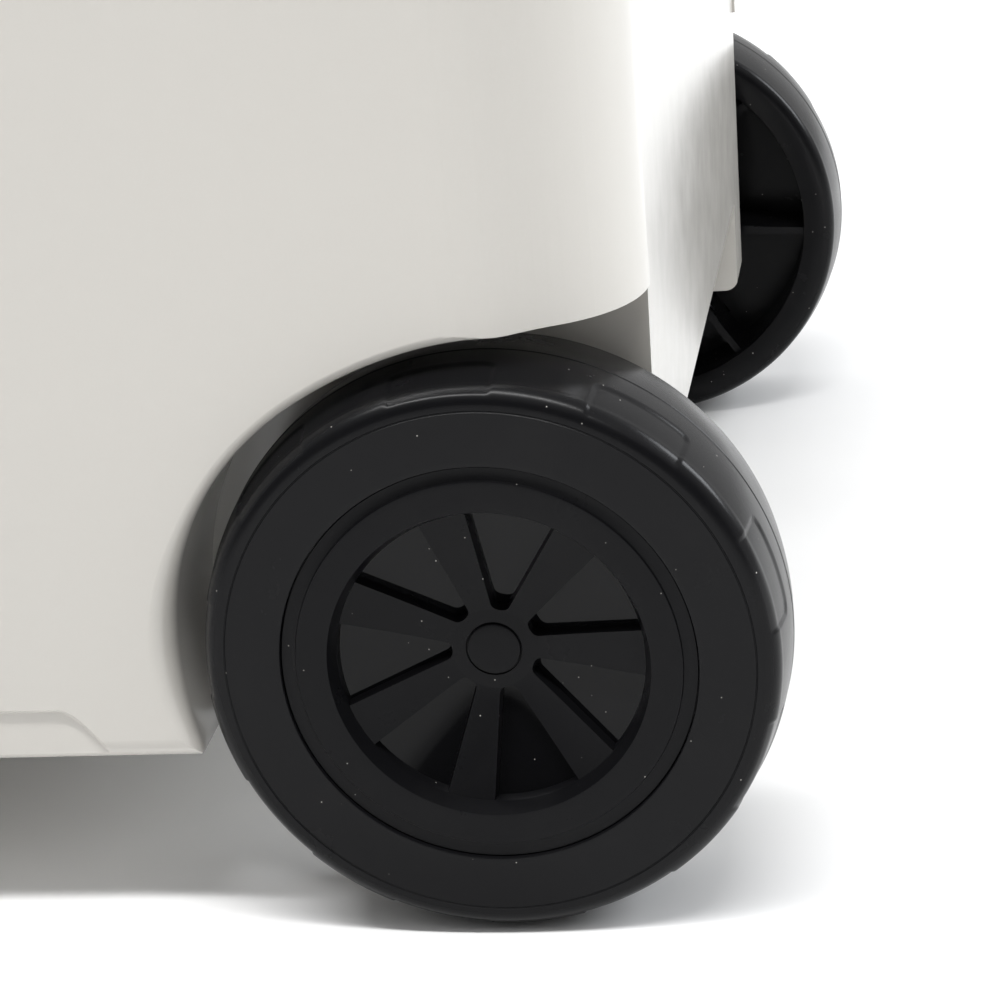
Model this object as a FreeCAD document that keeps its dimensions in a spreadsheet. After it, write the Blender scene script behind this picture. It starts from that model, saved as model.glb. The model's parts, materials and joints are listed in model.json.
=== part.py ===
import FreeCAD, Part
import math
import os
import re
import Sketcher

# A hard cooler on wheels, in millimetres.
# +X points to the wheel end, -Y to the latch side, +Z up; the origin is on the
# floor under the middle of the overall box.

Vector = FreeCAD.Vector
Rotation = FreeCAD.Rotation
SIDES = {"near": -1, "far": 1}
ENDS = {"left": -1, "right": 1}
SPOKES = 7
RIBS = 7
PADS = 9
FLUTES = 12

DIMS = {
    # insulated box
    "body_length": "600", "body_width": "420", "body_height": "359", "corner_radius": "44",
    "base_radius": "6", "shell_wall": "3", "insulation": "40", "liner_wall": "2.5",
    "liner_corner": "30", "rim_thickness": "4", "bottom_drop": "27", "band_height": "14.5",
    "band_depth": "1.2", "band_start": "90", "band_slope": "15", "lean_height": "188",
    "lean_depth": "3", "step_rise": "25", "step_setback": "16",
    # wheels and axle
    "wheel_diameter": "140", "wheel_width": "47", "wheel_proud": "10", "axle_inset": "38.5",
    "axle_diameter": "10", "tread_crown": "2", "shoulder_radius": "5", "rim_depth": "10.5",
    "arch_gap": "7.5", "well_gap": "8", "arch_rounding": "6", "hub_radius": "47.2",
    "hub_clearance": "0.4", "hub_groove": "1.6", "groove_depth": "0.9", "dish_radius": "38",
    "dish_floor_radius": "36.5", "dish_depth": "11.3", "dish_edge_depth": "5", "hub_thickness": "6",
    "window_depth": "3.5", "window_start": "10", "window_tip": "1.6", "window_half_angle": "16.75",
    "cap_radius": "6.5", "boss_radius": "15", "web_thickness": "4", "rib_thickness": "2.5",
    "rib_recess": "4", "nut_radius": "8", "running_clearance": "0.06", "washer_thickness": "1.5",
    "bush_flange": "3.5", "bush_wall": "3", "bush_length": "20", "pad_depth": "0.7",
    "pad_width": "15", "pad_angle": "21", "support_wall": "27", "tunnel_length": "82",
    "tunnel_slope": "28", "tunnel_rise": "16", "lift_drop": "14", "lift_length": "30",
    "lift_slope": "10",
    # lid
    "lid_height": "47", "lid_gap": "1", "lid_corner": "46", "lid_rounding": "12",
    "plug_depth": "16", "plug_gap": "5", "seal_height": "4", "seal_width": "8",
    "seal_clearance": "0.3", "cup_diameter": "76", "cup_depth": "17", "cup_spread": "330",
    "panel_depth": "2", "panel_margin": "34",
    # hinges and latches
    "hardware_depth": "16", "plate_thickness": "3", "hinge_spread": "340", "hinge_width": "64",
    "hinge_height": "34", "hinge_screw_drop": "26", "leaf_gap": "7", "knuckle_web": "8",
    "pin_radius": "2.5", "knuckle_radius": "5", "knuckle_gap": "0.4", "latch_spread": "300",
    "latch_width": "54", "latch_drop": "58", "latch_rise": "28", "latch_thickness": "5",
    "hook_depth": "5", "hook_clearance": "0.6", "ear_width": "10", "ear_drop": "12",
    "ear_rise": "8", "barrel_rise": "3", "hook_height": "6", "lip_drop": "16",
    "keeper_height": "16", "keeper_lip": "5",
    # handles
    "tow_width": "270", "tow_drop": "190", "tow_below_rim": "72", "tow_standoff": "16",
    "tow_bar": "16", "tow_arm": "24", "tow_cross": "6", "grip_core": "6.5", "grip_radius": "15",
    "grip_length": "120", "carry_width": "150", "carry_drop": "52", "carry_below_rim": "34",
    "carry_bar": "10", "carry_arm": "14", "carry_cross": "7", "flange_width": "12",
    "cheek_height": "22", "bracket_wall": "8", "bracket_height": "44", "pivot_radius": "4",
    "side_gap": "0.5",
    # drain, feet and fasteners
    "drain_inset": "90", "drain_radius": "8", "spout_wall": "3", "drain_flange": "20",
    "drain_rise": "9", "drain_seal": "1.5", "flange_thickness": "2.5", "foot_length": "72",
    "foot_width": "64", "foot_inset": "34", "foot_rounding": "9", "tread_pad": "4",
    "screw_radius": "2", "head_radius": "3.6", "head_height": "1.6",
}

DERIVED = {
    "wheel_radius": "wheel_diameter / 2",
    "axle_radius": "axle_diameter / 2",
    "tow_overhang": "tow_standoff + grip_radius",
    "end_x": "(body_length + tow_overhang - wheel_radius + axle_inset) / 2",
    "foot_end_x": "end_x - body_length",
    "mid_x": "end_x - body_length / 2",
    "half_width": "body_width / 2",
    "axle_x": "end_x - axle_inset",
    "bottom_z": "wheel_radius - bottom_drop",
    "rim_z": "bottom_z + body_height",
    "lid_bottom_z": "rim_z + lid_gap",
    "lid_top_z": "lid_bottom_z + lid_height",
    "wheel_face_y": "half_width + wheel_proud",
    "well_wall_y": "wheel_face_y - wheel_width - well_gap",
    "arch_radius": "wheel_radius + arch_gap",
    "well_top_z": "wheel_radius + arch_radius",
    "cavity_floor_z": "bottom_z + insulation",
    "step_z": "well_top_z + shell_wall + step_rise",
    "step_x": "axle_x - arch_radius - shell_wall - step_setback",
    "hardware_y": "half_width + plate_thickness + knuckle_radius",
    "hinge_z": "lid_bottom_z",
    "latch_z": "lid_bottom_z + latch_rise",
    "keeper_z": "latch_z - latch_drop",
    "tow_x": "foot_end_x - tow_standoff",
    "tow_z": "rim_z - tow_below_rim",
    "carry_x": "end_x + tow_standoff",
    "carry_z": "rim_z - carry_below_rim",
    "drain_x": "foot_end_x + drain_inset",
    "drain_z": "cavity_floor_z + drain_radius + drain_rise",
    "foot_x": "foot_end_x + foot_inset",
    "foot_y": "half_width - foot_inset - foot_width",
    "pivot_z": "latch_z + barrel_rise",
    "nut_top": "dish_depth + 2.2",
    "web_front": "dish_depth + hub_thickness",
}

doc = FreeCAD.newDocument("cooler_on_wheels")
nodes = []


# ---------------------------------------------------------------- sheets and expressions

def qualify(text, names=None):
    """Writes the sheet's name before every dimension in a formula."""
    def swap(found):
        word = found.group(0)
        if word in DIMS:
            return "dims." + word
        if names is None and word in DERIVED:
            return "derived." + word
        return word
    return re.sub(r"[a-z][a-z_]*", swap, text)


def add_sheets():
    driving = doc.addObject("Spreadsheet::Sheet", "dims")
    for row, (alias, text) in enumerate(DIMS.items(), start=1):
        driving.set("A%d" % row, alias)
        driving.set("B%d" % row, text)
        driving.setAlias("B%d" % row, alias)
    places = doc.addObject("Spreadsheet::Sheet", "derived")
    for row, (alias, text) in enumerate(DERIVED.items(), start=1):
        places.set("A%d" % row, alias)
        places.set("B%d" % row, "=" + qualify(text, DIMS))
        places.setAlias("B%d" % row, alias)
    doc.recompute()
    return places


sheet = add_sheets()


def value(text):
    """A formula's number, for first positions and for picking edges."""
    return float(sheet.evalExpression(qualify(text)))


def bind(item, prop, text):
    item.setExpression(prop, qualify(text))


def place(item, x="0", y="0", z="0"):
    bind(item, "Placement.Base.x", x)
    bind(item, "Placement.Base.y", y)
    bind(item, "Placement.Base.z", z)
    return item


def node(item, label):
    item.Label = label
    nodes.append(item)
    return item


# ---------------------------------------------------------------- sketches and features

PLANES = {"XY": ("XY_Plane", 1), "XZ": ("XZ_Plane", -1), "YZ": ("YZ_Plane", 1)}


def add_body(name):
    return doc.addObject("PartDesign::Body", name)


def origin_part(body, role):
    return next(f for f in body.Origin.OriginFeatures if f.Role == role)


def sketch(body, name, plane, start="0"):
    role, sign = PLANES[plane]
    item = body.newObject("Sketcher::SketchObject", name)
    item.AttachmentSupport = (origin_part(body, role), [""])
    item.MapMode = "FlatFace"
    bind(item, "AttachmentOffset.Base.z", "%d * (%s)" % (sign, start))
    return item


def hold(item, index, end, x, y):
    """Holds one point of a sketch at a pair of formulas."""
    for kind, text in (("DistanceX", x), ("DistanceY", y)):
        rule = Sketcher.Constraint(kind, -1, 1, index, end, value(text))
        number = item.addConstraint(rule)
        bind(item, "Constraints[%d]" % number, text)


def polygon(item, points):
    """A closed outline through points given as pairs of formulas."""
    corners = [Vector(value(x), value(y), 0) for x, y in points]
    count = len(corners)
    first = item.GeometryCount
    for i in range(count):
        item.addGeometry(Part.LineSegment(corners[i], corners[(i + 1) % count]), False)
    for i in range(count):
        joint = Sketcher.Constraint("Coincident", first + i, 2, first + (i + 1) % count, 1)
        item.addConstraint(joint)
    for i, (x, y) in enumerate(points):
        hold(item, first + i, 1, x, y)
    return item


def circle(item, x, y, radius):
    centre = Vector(value(x), value(y), 0)
    index = item.addGeometry(Part.Circle(centre, Vector(0, 0, 1), value(radius)), False)
    number = item.addConstraint(Sketcher.Constraint("Radius", index, value(radius)))
    bind(item, "Constraints[%d]" % number, radius)
    hold(item, index, 3, x, y)
    return item


def rectangle(low_x, low_y, high_x, high_y):
    return [(low_x, low_y), (high_x, low_y), (high_x, high_y), (low_x, high_y)]


def extrude(body, kind, outline, plane, length):
    """A pad or pocket that runs towards the positive side of its plane."""
    item = body.newObject("PartDesign::" + kind, outline.Name + "_" + kind.lower())
    item.Profile = outline
    item.Reversed = (plane == "XZ") != (kind == "Pocket")
    bind(item, "Length", length)
    doc.recompute()
    return item


def pad(body, outline, plane, length):
    return extrude(body, "Pad", outline, plane, length)


def pocket(body, outline, plane, length):
    before = body.Shape.Volume
    item = extrude(body, "Pocket", outline, plane, length)
    if body.Shape.Volume > before - 1e-3:
        raise RuntimeError("pocket cuts nothing: " + outline.Name)
    return item


def fillet(body, radius, test=None):
    """Rounds the edges that pass a test, or every edge."""
    base = body.Tip
    names = [""]
    if test is not None:
        edges = enumerate(base.Shape.Edges, start=1)
        names = ["Edge%d" % i for i, edge in edges if test(edge)]
    item = body.newObject("PartDesign::Fillet", body.Name + "_fillet")
    item.Base = (base, names)
    item.UseAllEdges = test is None
    bind(item, "Radius", radius)
    doc.recompute()
    return item


def along(axis):
    """A test for straight edges that run along one axis."""
    def test(edge):
        if edge.Curve.TypeId != "Part::GeomLine":
            return False
        return abs(getattr(edge.tangentAt(edge.FirstParameter), axis)) > 0.999
    return test


def at_height(height):
    """A test for edges that lie level at one height."""
    def test(edge):
        box = edge.BoundBox
        return abs(box.ZMin - height) < 0.01 and abs(box.ZMax - height) < 0.01
    return test


def prism(name, plane, points, start, end, rounding=None):
    """A body padded from one outline, from start to end, with rounded edges."""
    body = add_body(name)
    outline = polygon(sketch(body, name + "_outline", plane, start), points)
    pad(body, outline, plane, "(%s) - (%s)" % (end, start))
    if rounding:
        fillet(body, rounding)
    return body


def block(name, low, high, rounding=None):
    points = rectangle(low[0], low[1], high[0], high[1])
    return prism(name, "XY", points, low[2], high[2], rounding)


# ---------------------------------------------------------------- primitives and booleans

TURN = {
    "X": Rotation(Vector(0, 1, 0), 90),
    "Y": Rotation(Vector(1, 0, 0), -90),
    "Z": Rotation(),
}


def cylinder(name, radius, length, start, axis="Z"):
    item = doc.addObject("Part::Cylinder", name)
    item.Placement = FreeCAD.Placement(Vector(), TURN[axis])
    bind(item, "Radius", radius)
    bind(item, "Height", length)
    return place(item, *start)


def cut(name, base, tool):
    item = doc.addObject("Part::Cut", name)
    item.Base = base
    item.Tool = tool
    return item


def fuse(name, items):
    item = doc.addObject("Part::MultiFuse", name)
    item.Shapes = items
    return item


def group(name, items):
    item = doc.addObject("Part::Compound", name)
    item.Links = items
    return item


def ring(name, outer, inner, length, start, axis):
    return cut(name, cylinder(name + "_outer", outer, length, start, axis),
               cylinder(name + "_inner", inner, length, start, axis))


def signed(side, text):
    return "%d * (%s)" % (side, text)


def screw_set(name, points, axis, side, plate):
    """Pan-head screws through a plate into a wall, and the holes that they fill."""
    def start(point, text):
        spot = list(point)
        spot["XYZ".index(axis)] = text
        return spot
    screws, holes = [], []
    shift = "-1" if side < 0 else "0"
    for i, point in enumerate(points):
        wall = point["XYZ".index(axis)]
        low = "%s - %d * shell_wall" % (wall, side)
        grip = "%s + shell_wall" % plate
        low_end = "(%s) + (%s) * (%s)" % (low, shift, grip)
        shank = cylinder("%s_shank_%d" % (name, i), "screw_radius", grip, start(point, low_end), axis)
        head_low = "%s + %d * (%s) + (%s) * head_height" % (wall, side, plate, shift)
        head = cylinder("%s_head_%d" % (name, i), "head_radius", "head_height",
                        start(point, head_low), axis)
        hole = cylinder("%s_hole_%d" % (name, i), "screw_radius", grip, start(point, low_end), axis)
        screws.append(fuse("%s_%d" % (name, i), [shank, head]))
        holes.append(hole)
    node(group(name, screws), name)
    return group(name + "_holes", holes)


# ---------------------------------------------------------------- insulated box

def hull(name, inset):
    """The outside of the box drawn in by an inset, with wheel wells and axle tunnel."""
    body = add_body(name)
    plan = rectangle("foot_end_x + " + inset, "-half_width + " + inset,
                     "end_x - " + inset, "half_width - " + inset)
    outline = polygon(sketch(body, name + "_plan", "XY", "bottom_z + " + inset), plan)
    pad(body, outline, "XY", "body_height - " + inset)
    fillet(body, "corner_radius - " + inset, along("z"))
    fillet(body, "base_radius - " + inset, at_height(value("bottom_z + " + inset)))
    add_wells(body, name, inset)
    add_tunnel(body, name, inset)
    return body


def add_wells(body, name, inset):
    """An arch round each wheel that runs out level through the end wall."""
    low, high = "well_wall_y - " + inset, "half_width + 5"
    for word, side in SIDES.items():
        start = low if side > 0 else "-(%s)" % high
        disc = sketch(body, "%s_arch_%s" % (name, word), "XZ", start)
        circle(disc, "axle_x", "wheel_radius", "arch_radius + " + inset)
        pocket(body, disc, "XZ", "(%s) - (%s)" % (high, low))
        slot = sketch(body, "%s_well_%s" % (name, word), "XZ", start)
        polygon(slot, rectangle("axle_x", "bottom_z - 5", "end_x + 5", "well_top_z + " + inset))
        pocket(body, slot, "XZ", "(%s) - (%s)" % (high, low))


def add_tunnel(body, name, inset):
    """The hollow under the end wall, between the two walls that hold the axle."""
    half = "(well_wall_y - support_wall + %s)" % inset
    roof = "wheel_radius + tunnel_rise + " + inset
    outline = sketch(body, name + "_tunnel", "XZ", "-" + half)
    polygon(outline, [
        ("end_x - tunnel_length - tunnel_slope - %s" % inset, "bottom_z - 5"),
        ("end_x + 5", "bottom_z - 5"),
        ("end_x + 5", roof),
        ("end_x - tunnel_length - " + inset, roof),
    ])
    pocket(body, outline, "XZ", "2 * " + half)


def add_end_cuts(body, name, inset):
    """The end wall leans in between the wheels, and its foot is raised behind the axle."""
    half = "(well_wall_y + %s)" % inset
    lean = sketch(body, name + "_lean", "XZ", "-" + half)
    polygon(lean, [
        ("end_x - " + inset, "lean_height"),
        ("end_x - lean_depth - " + inset, "bottom_z - 5"),
        ("end_x + 5", "bottom_z - 5"),
        ("end_x + 5", "lean_height"),
    ])
    pocket(body, lean, "XZ", "2 * " + half)
    lift = "wheel_radius - lift_drop + " + inset
    foot = sketch(body, name + "_lift", "XZ", "-" + half)
    polygon(foot, [
        ("end_x - lift_length - lift_slope - " + inset, "bottom_z - 5"),
        ("end_x + 5", "bottom_z - 5"),
        ("end_x + 5", lift),
        ("end_x - lift_length - " + inset, lift),
    ])
    pocket(body, foot, "XZ", "2 * " + half)


def add_side_bands(body):
    """A shallow set-back along the bottom of each long side."""
    first = "foot_end_x + band_start"
    last = "axle_x - band_start"
    for word, side in SIDES.items():
        start = "half_width - band_depth" if side > 0 else "-half_width - 5"
        outline = sketch(body, "band_" + word, "XZ", start)
        polygon(outline, [
            (first, "bottom_z - 1"),
            (last, "bottom_z - 1"),
            (last + " - band_slope", "bottom_z + band_height"),
            (first + " + band_slope", "bottom_z + band_height"),
        ])
        pocket(body, outline, "XZ", "band_depth + 5")


def soften_arches(body):
    """Rounds the edge where each arch meets the long side."""
    side_y = value("half_width")
    reach = value("arch_radius")

    def test(edge):
        box = edge.BoundBox
        flat = abs(abs(box.YMin) - side_y) < 0.01 and abs(box.YMax - box.YMin) < 0.01
        return flat and edge.Curve.TypeId == "Part::GeomCircle" and abs(edge.Curve.Radius - reach) < 0.01
    fillet(body, "arch_rounding", test)


def liner_block(name, inset):
    """The inside of the liner grown outwards by an inset, with its raised wheel step."""
    first = "foot_end_x + insulation - " + inset
    last = "end_x - insulation + " + inset
    step = "step_x - liner_wall + " + inset
    floor = "cavity_floor_z - " + inset
    ledge = "step_z - " + inset
    half = "half_width - insulation + " + inset
    body = add_body(name)
    outline = sketch(body, name + "_side", "XZ", "-(%s)" % half)
    polygon(outline, [(first, floor), (step, floor), (step, ledge), (last, ledge),
                      (last, "rim_z"), (first, "rim_z")])
    pad(body, outline, "XZ", "2 * (%s)" % half)
    fillet(body, "liner_corner + " + inset, along("z"))
    return body


def make_box(holes):
    outer = hull("shell_outside", "0")
    add_side_bands(outer)
    soften_arches(outer)
    add_end_cuts(outer, "shell_outside", "0")
    inner = hull("shell_inside", "shell_wall")
    add_end_cuts(inner, "shell_inside", "shell_wall")
    liner_out = liner_block("liner_outside", "liner_wall")
    liner_in = liner_block("liner_inside", "0")
    flange = block("liner_flange", ("foot_end_x + shell_wall", "-half_width + shell_wall",
                                    "rim_z - rim_thickness"),
                   ("end_x - shell_wall", "half_width - shell_wall", "rim_z"))
    fillet(flange, "corner_radius - shell_wall", along("z"))
    drain_hole = cylinder("drain_hole", "drain_radius + spout_wall", "insulation + 10",
                          ("drain_x", "half_width - insulation - 5", "drain_z"), "Y")
    bush_holes = [cylinder("bush_hole_" + word, "axle_radius + bush_wall", "support_wall + 2",
                           ("axle_x", signed(side, "well_wall_y + 1 - %d * (support_wall + 2)"
                                             % (side > 0)), "wheel_radius"), "Y")
                  for word, side in SIDES.items()]
    wall = cut("shell_wall_cut", outer, inner)
    openings = fuse("shell_openings", [drain_hole] + bush_holes + holes)
    node(cut("outer_shell_solid", wall, openings), "outer_shell")
    tub = cut("tub_solid", fuse("tub_blank", [liner_out, flange]), liner_in)
    node(cut("inner_liner_solid", tub, drain_hole), "inner_liner")
    filled = fuse("not_foam", [liner_out, flange, drain_hole] + bush_holes)
    node(cut("foam_core_solid", inner, filled), "foam_core")


# ---------------------------------------------------------------- wheels and axle

def place_wheel_part(body, side, phase):
    """Turns a piece drawn with its face at y = 0 to its own side of the cooler."""
    facing = Rotation(Vector(0, 0, 1), 180 if side > 0 else 0)
    body.Placement = FreeCAD.Placement(Vector(), facing * Rotation(Vector(0, 1, 0), phase))
    return place(body, "axle_x", signed(side, "wheel_face_y"), "wheel_radius")


def revolve(body, outline, kind="Revolution", angle="360"):
    item = body.newObject("PartDesign::" + kind, outline.Name + "_turned")
    item.Profile = outline
    item.ReferenceAxis = (outline, ["H_Axis"])
    item.Midplane = angle != "360"
    bind(item, "Angle", angle)
    doc.recompute()
    return item


def polar(body, feature, count):
    item = body.newObject("PartDesign::PolarPattern", feature.Name + "_polar")
    item.Originals = [feature]
    item.Axis = (origin_part(body, "Y_Axis"), [""])
    item.Angle = 360
    item.Occurrences = count
    body.Tip = item
    doc.recompute()
    return item


def make_wheel(word, side, phase):
    """A moulded wheel: crowned tread, open pocket for the hub disc, ribbed back."""
    body = add_body("wheel_body_" + word)
    edge = "wheel_radius - tread_crown"
    rim = edge + " - rim_depth"
    pocket_radius = "hub_radius + hub_clearance"
    web = "web_front + 0.4"
    web_back = web + " + web_thickness"
    boss_end = "wheel_width + well_gap - bush_flange - washer_thickness"
    bore = "axle_radius + running_clearance"
    line = "wheel_radius * 0.9"
    groove = pocket_radius + " + hub_groove"
    profile = sketch(body, "wheel_profile_" + word, "YZ")
    polygon(profile, [
        ("groove_depth", pocket_radius), ("0", groove), ("0", line + " - 0.3"), ("0.35", line),
        ("0", line + " + 0.3"),
        ("0", edge), ("wheel_width / 4", "wheel_radius - tread_crown / 4"),
        ("wheel_width / 2", "wheel_radius"),
        ("wheel_width * 3 / 4", "wheel_radius - tread_crown / 4"), ("wheel_width", edge),
        ("wheel_width", rim), (web_back, rim), (web_back, "boss_radius"),
        (boss_end, "boss_radius"), (boss_end, bore), (web, bore), (web, pocket_radius),
    ])
    revolve(body, profile)
    round_shoulders(body)
    add_ribs(body, word, rim, web_back)
    add_tread_pads(body, word)
    node(place_wheel_part(body, side, phase), "wheel_" + word)


def round_shoulders(body):
    rim = value("wheel_radius - tread_crown")
    faces = (0, value("wheel_width"))

    def test(edge):
        if edge.Curve.TypeId != "Part::GeomCircle":
            return False
        box = edge.BoundBox
        at_face = min(abs(box.YMax - face) for face in faces) < 0.01
        return at_face and abs(edge.Curve.Radius - rim) < 0.01
    fillet(body, "shoulder_radius", test)


def add_ribs(body, word, rim, web_back):
    outline = sketch(body, "rib_" + word, "XZ", web_back + " - 0.5")
    polygon(outline, rectangle("-rib_thickness / 2", "boss_radius - 1",
                               "rib_thickness / 2", rim + " + 1"))
    rib = pad(body, outline, "XZ", "wheel_width - rib_recess - (%s) + 0.5" % web_back)
    polar(body, rib, RIBS)


def add_tread_pads(body, word):
    """Shallow pads sunk in the outer half of the tread."""
    outline = sketch(body, "pads_" + word, "YZ")
    polygon(outline, rectangle("-1", "wheel_radius - tread_crown / 4 - pad_depth",
                               "pad_width + 1", "wheel_radius + 1"))
    groove = revolve(body, outline, "Groove", "pad_angle")
    polar(body, groove, PADS)


def make_hub(word, side, phase):
    """The conical disc with seven spokes between sunk windows."""
    body = add_body("hub_body_" + word)
    profile = sketch(body, "hub_profile_" + word, "YZ")
    polygon(profile, [
        ("dish_depth + 1.2", "0"), ("dish_depth + 1.2", "cap_radius + 0.1"),
        ("dish_depth", "cap_radius + 0.1"), ("dish_depth", "window_start"),
        ("dish_edge_depth", "dish_floor_radius"),
        ("0.4", "dish_radius"), ("0.4", "hub_radius - 1"), ("1.4", "hub_radius"),
        ("web_front", "hub_radius"), ("web_front", "nut_radius + 0.6"),
        ("nut_top", "nut_radius + 0.6"), ("nut_top", "0"),
    ])
    revolve(body, profile)
    hub = cut("hub_solid_" + word, body, window_space(word))
    node(place_wheel_part(hub, side, phase), "wheel_hub_" + word)


def window_space(word):
    """The seven windows: wedges round a core, kept only where they lie above a cone."""
    wedges = add_body("window_wedges_" + word)
    core = sketch(wedges, "window_core_" + word, "XZ")
    pad(wedges, circle(core, "0", "0", "window_start + 0.2"), "XZ", "web_front")
    wedge = pad(wedges, window_outline(wedges, word), "XZ", "web_front")
    polar(wedges, wedge, SPOKES)
    cone = add_body("window_cone_" + word)
    profile = sketch(cone, "window_profile_" + word, "YZ")
    polygon(profile, [
        ("0.5", "window_start + 0.2"), ("0.5", "dish_floor_radius"),
        ("dish_edge_depth + window_depth", "dish_floor_radius"),
        ("dish_depth + window_depth", "window_start + 0.2"),
    ])
    revolve(cone, profile)
    item = doc.addObject("Part::Common", "window_space_" + word)
    item.Base = wedges
    item.Tool = cone
    return item


def window_outline(body, word):
    """A wedge between two spokes, closed by an arc along the foot of the dish."""
    item = sketch(body, "window_" + word, "XZ")
    radius = value("dish_floor_radius")
    half = math.radians(value("window_half_angle"))
    tip_x, tip_z = value("window_tip"), value("window_start")
    out_x, out_z = radius * math.sin(half), radius * math.cos(half)
    spots = [Vector(-out_x, out_z, 0), Vector(-tip_x, tip_z, 0),
             Vector(tip_x, tip_z, 0), Vector(out_x, out_z, 0)]
    for start, end in zip(spots, spots[1:]):
        item.addGeometry(Part.LineSegment(start, end), False)
    disc = Part.Circle(Vector(), Vector(0, 0, 1), radius)
    item.addGeometry(Part.ArcOfCircle(disc, math.pi / 2 - half, math.pi / 2 + half), False)
    for a, a_end, b, b_end in ((0, 2, 1, 1), (1, 2, 2, 1), (2, 2, 3, 1), (3, 2, 0, 1)):
        item.addConstraint(Sketcher.Constraint("Coincident", a, a_end, b, b_end))
    item.addConstraint(Sketcher.Constraint("Coincident", 3, 3, -1, 1))
    number = item.addConstraint(Sketcher.Constraint("Radius", 3, radius))
    bind(item, "Constraints[%d]" % number, "dish_floor_radius")
    hold(item, 1, 1, "-window_tip", "window_start")
    hold(item, 1, 2, "window_tip", "window_start")
    for end, sign in ((1, 1), (2, -1)):
        rule = Sketcher.Constraint("DistanceX", -1, 1, 3, end, sign * out_x)
        number = item.addConstraint(rule)
        bind(item, "Constraints[%d]" % number,
             "%d * dish_floor_radius * sin(window_half_angle * 1 deg)" % sign)
    return item


def make_axle_set(word, side):
    """Hub cap, push nut, washer and flanged bush of one wheel."""
    def at(depth):
        return ("axle_x", signed(side, "wheel_face_y - (%s)" % depth), "wheel_radius")

    def disc(name, radius, near, far):
        start = at(far) if side > 0 else at(near)
        return cylinder(name + word, radius, "(%s) - (%s)" % (far, near), start, "Y")

    cap = disc("cap_disc_", "cap_radius", "dish_depth - 0.8", "dish_depth + 1.2")
    node(group("cap_" + word, [cap]), "hub_cap_" + word)
    nut = cut("nut_" + word, disc("nut_disc_", "nut_radius", "nut_top + 1", "web_front"),
              disc("nut_bore_", "axle_radius", "nut_top + 1", "web_front"))
    node(nut, "push_nut_" + word)
    flange_near = "wheel_width + well_gap - bush_flange"
    washer_near = flange_near + " - washer_thickness"
    washer = cut("washer_cut_" + word, disc("washer_disc_", "boss_radius", washer_near, flange_near),
                 disc("washer_bore_", "axle_radius", washer_near, flange_near))
    node(washer, "axle_washer_" + word)
    flange_far = "wheel_width + well_gap"
    sleeve_far = flange_far + " + bush_length"
    bush = fuse("bush_blank_" + word, [
        disc("bush_flange_", "boss_radius", flange_near, flange_far),
        disc("bush_sleeve_", "axle_radius + bush_wall", flange_far, sleeve_far)])
    node(cut("bush_cut_" + word, bush, disc("bush_bore_", "axle_radius", flange_near, sleeve_far)),
         "axle_bush_" + word)


def make_running_gear():
    """The steel axle and what turns on it, with each wheel stopped at its own angle."""
    length = "2 * (wheel_face_y - nut_top - 0.3)"
    node(cylinder("axle_rod", "axle_radius", length,
                  ("axle_x", "-(wheel_face_y - nut_top - 0.3)", "wheel_radius"), "Y"), "axle")
    hub_turns = {"near": 12, "far": 10}
    tread_turns = {"near": -5.5, "far": 7.9}
    for word, side in SIDES.items():
        make_wheel(word, side, tread_turns[word])
        make_hub(word, side, hub_turns[word])
        make_axle_set(word, side)


# ---------------------------------------------------------------- lid

def lid_block(name, inset, low, high):
    """A slab with the lid's plan drawn in by an inset."""
    body = block(name, ("foot_end_x + " + inset, "-half_width + " + inset, low),
                 ("end_x - " + inset, "half_width - " + inset, high))
    fillet(body, "lid_corner - " + inset, along("z"))
    return body


def plug_block(name, inset, low, high):
    gap = "insulation + plug_gap + " + inset
    body = block(name, ("foot_end_x + " + gap, "-half_width + " + gap, low),
                 ("end_x - (%s)" % gap, "half_width - (%s)" % gap, high))
    fillet(body, "liner_corner - " + inset, along("z"))
    return body


def cup_set(name, grow, low, high):
    return [cylinder("%s_%s" % (name, word), "cup_diameter / 2 + " + grow,
                     "(%s) - (%s)" % (high, low),
                     ("mid_x + %d * cup_spread / 2" % side, "0", low))
            for word, side in ENDS.items()]


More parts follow.
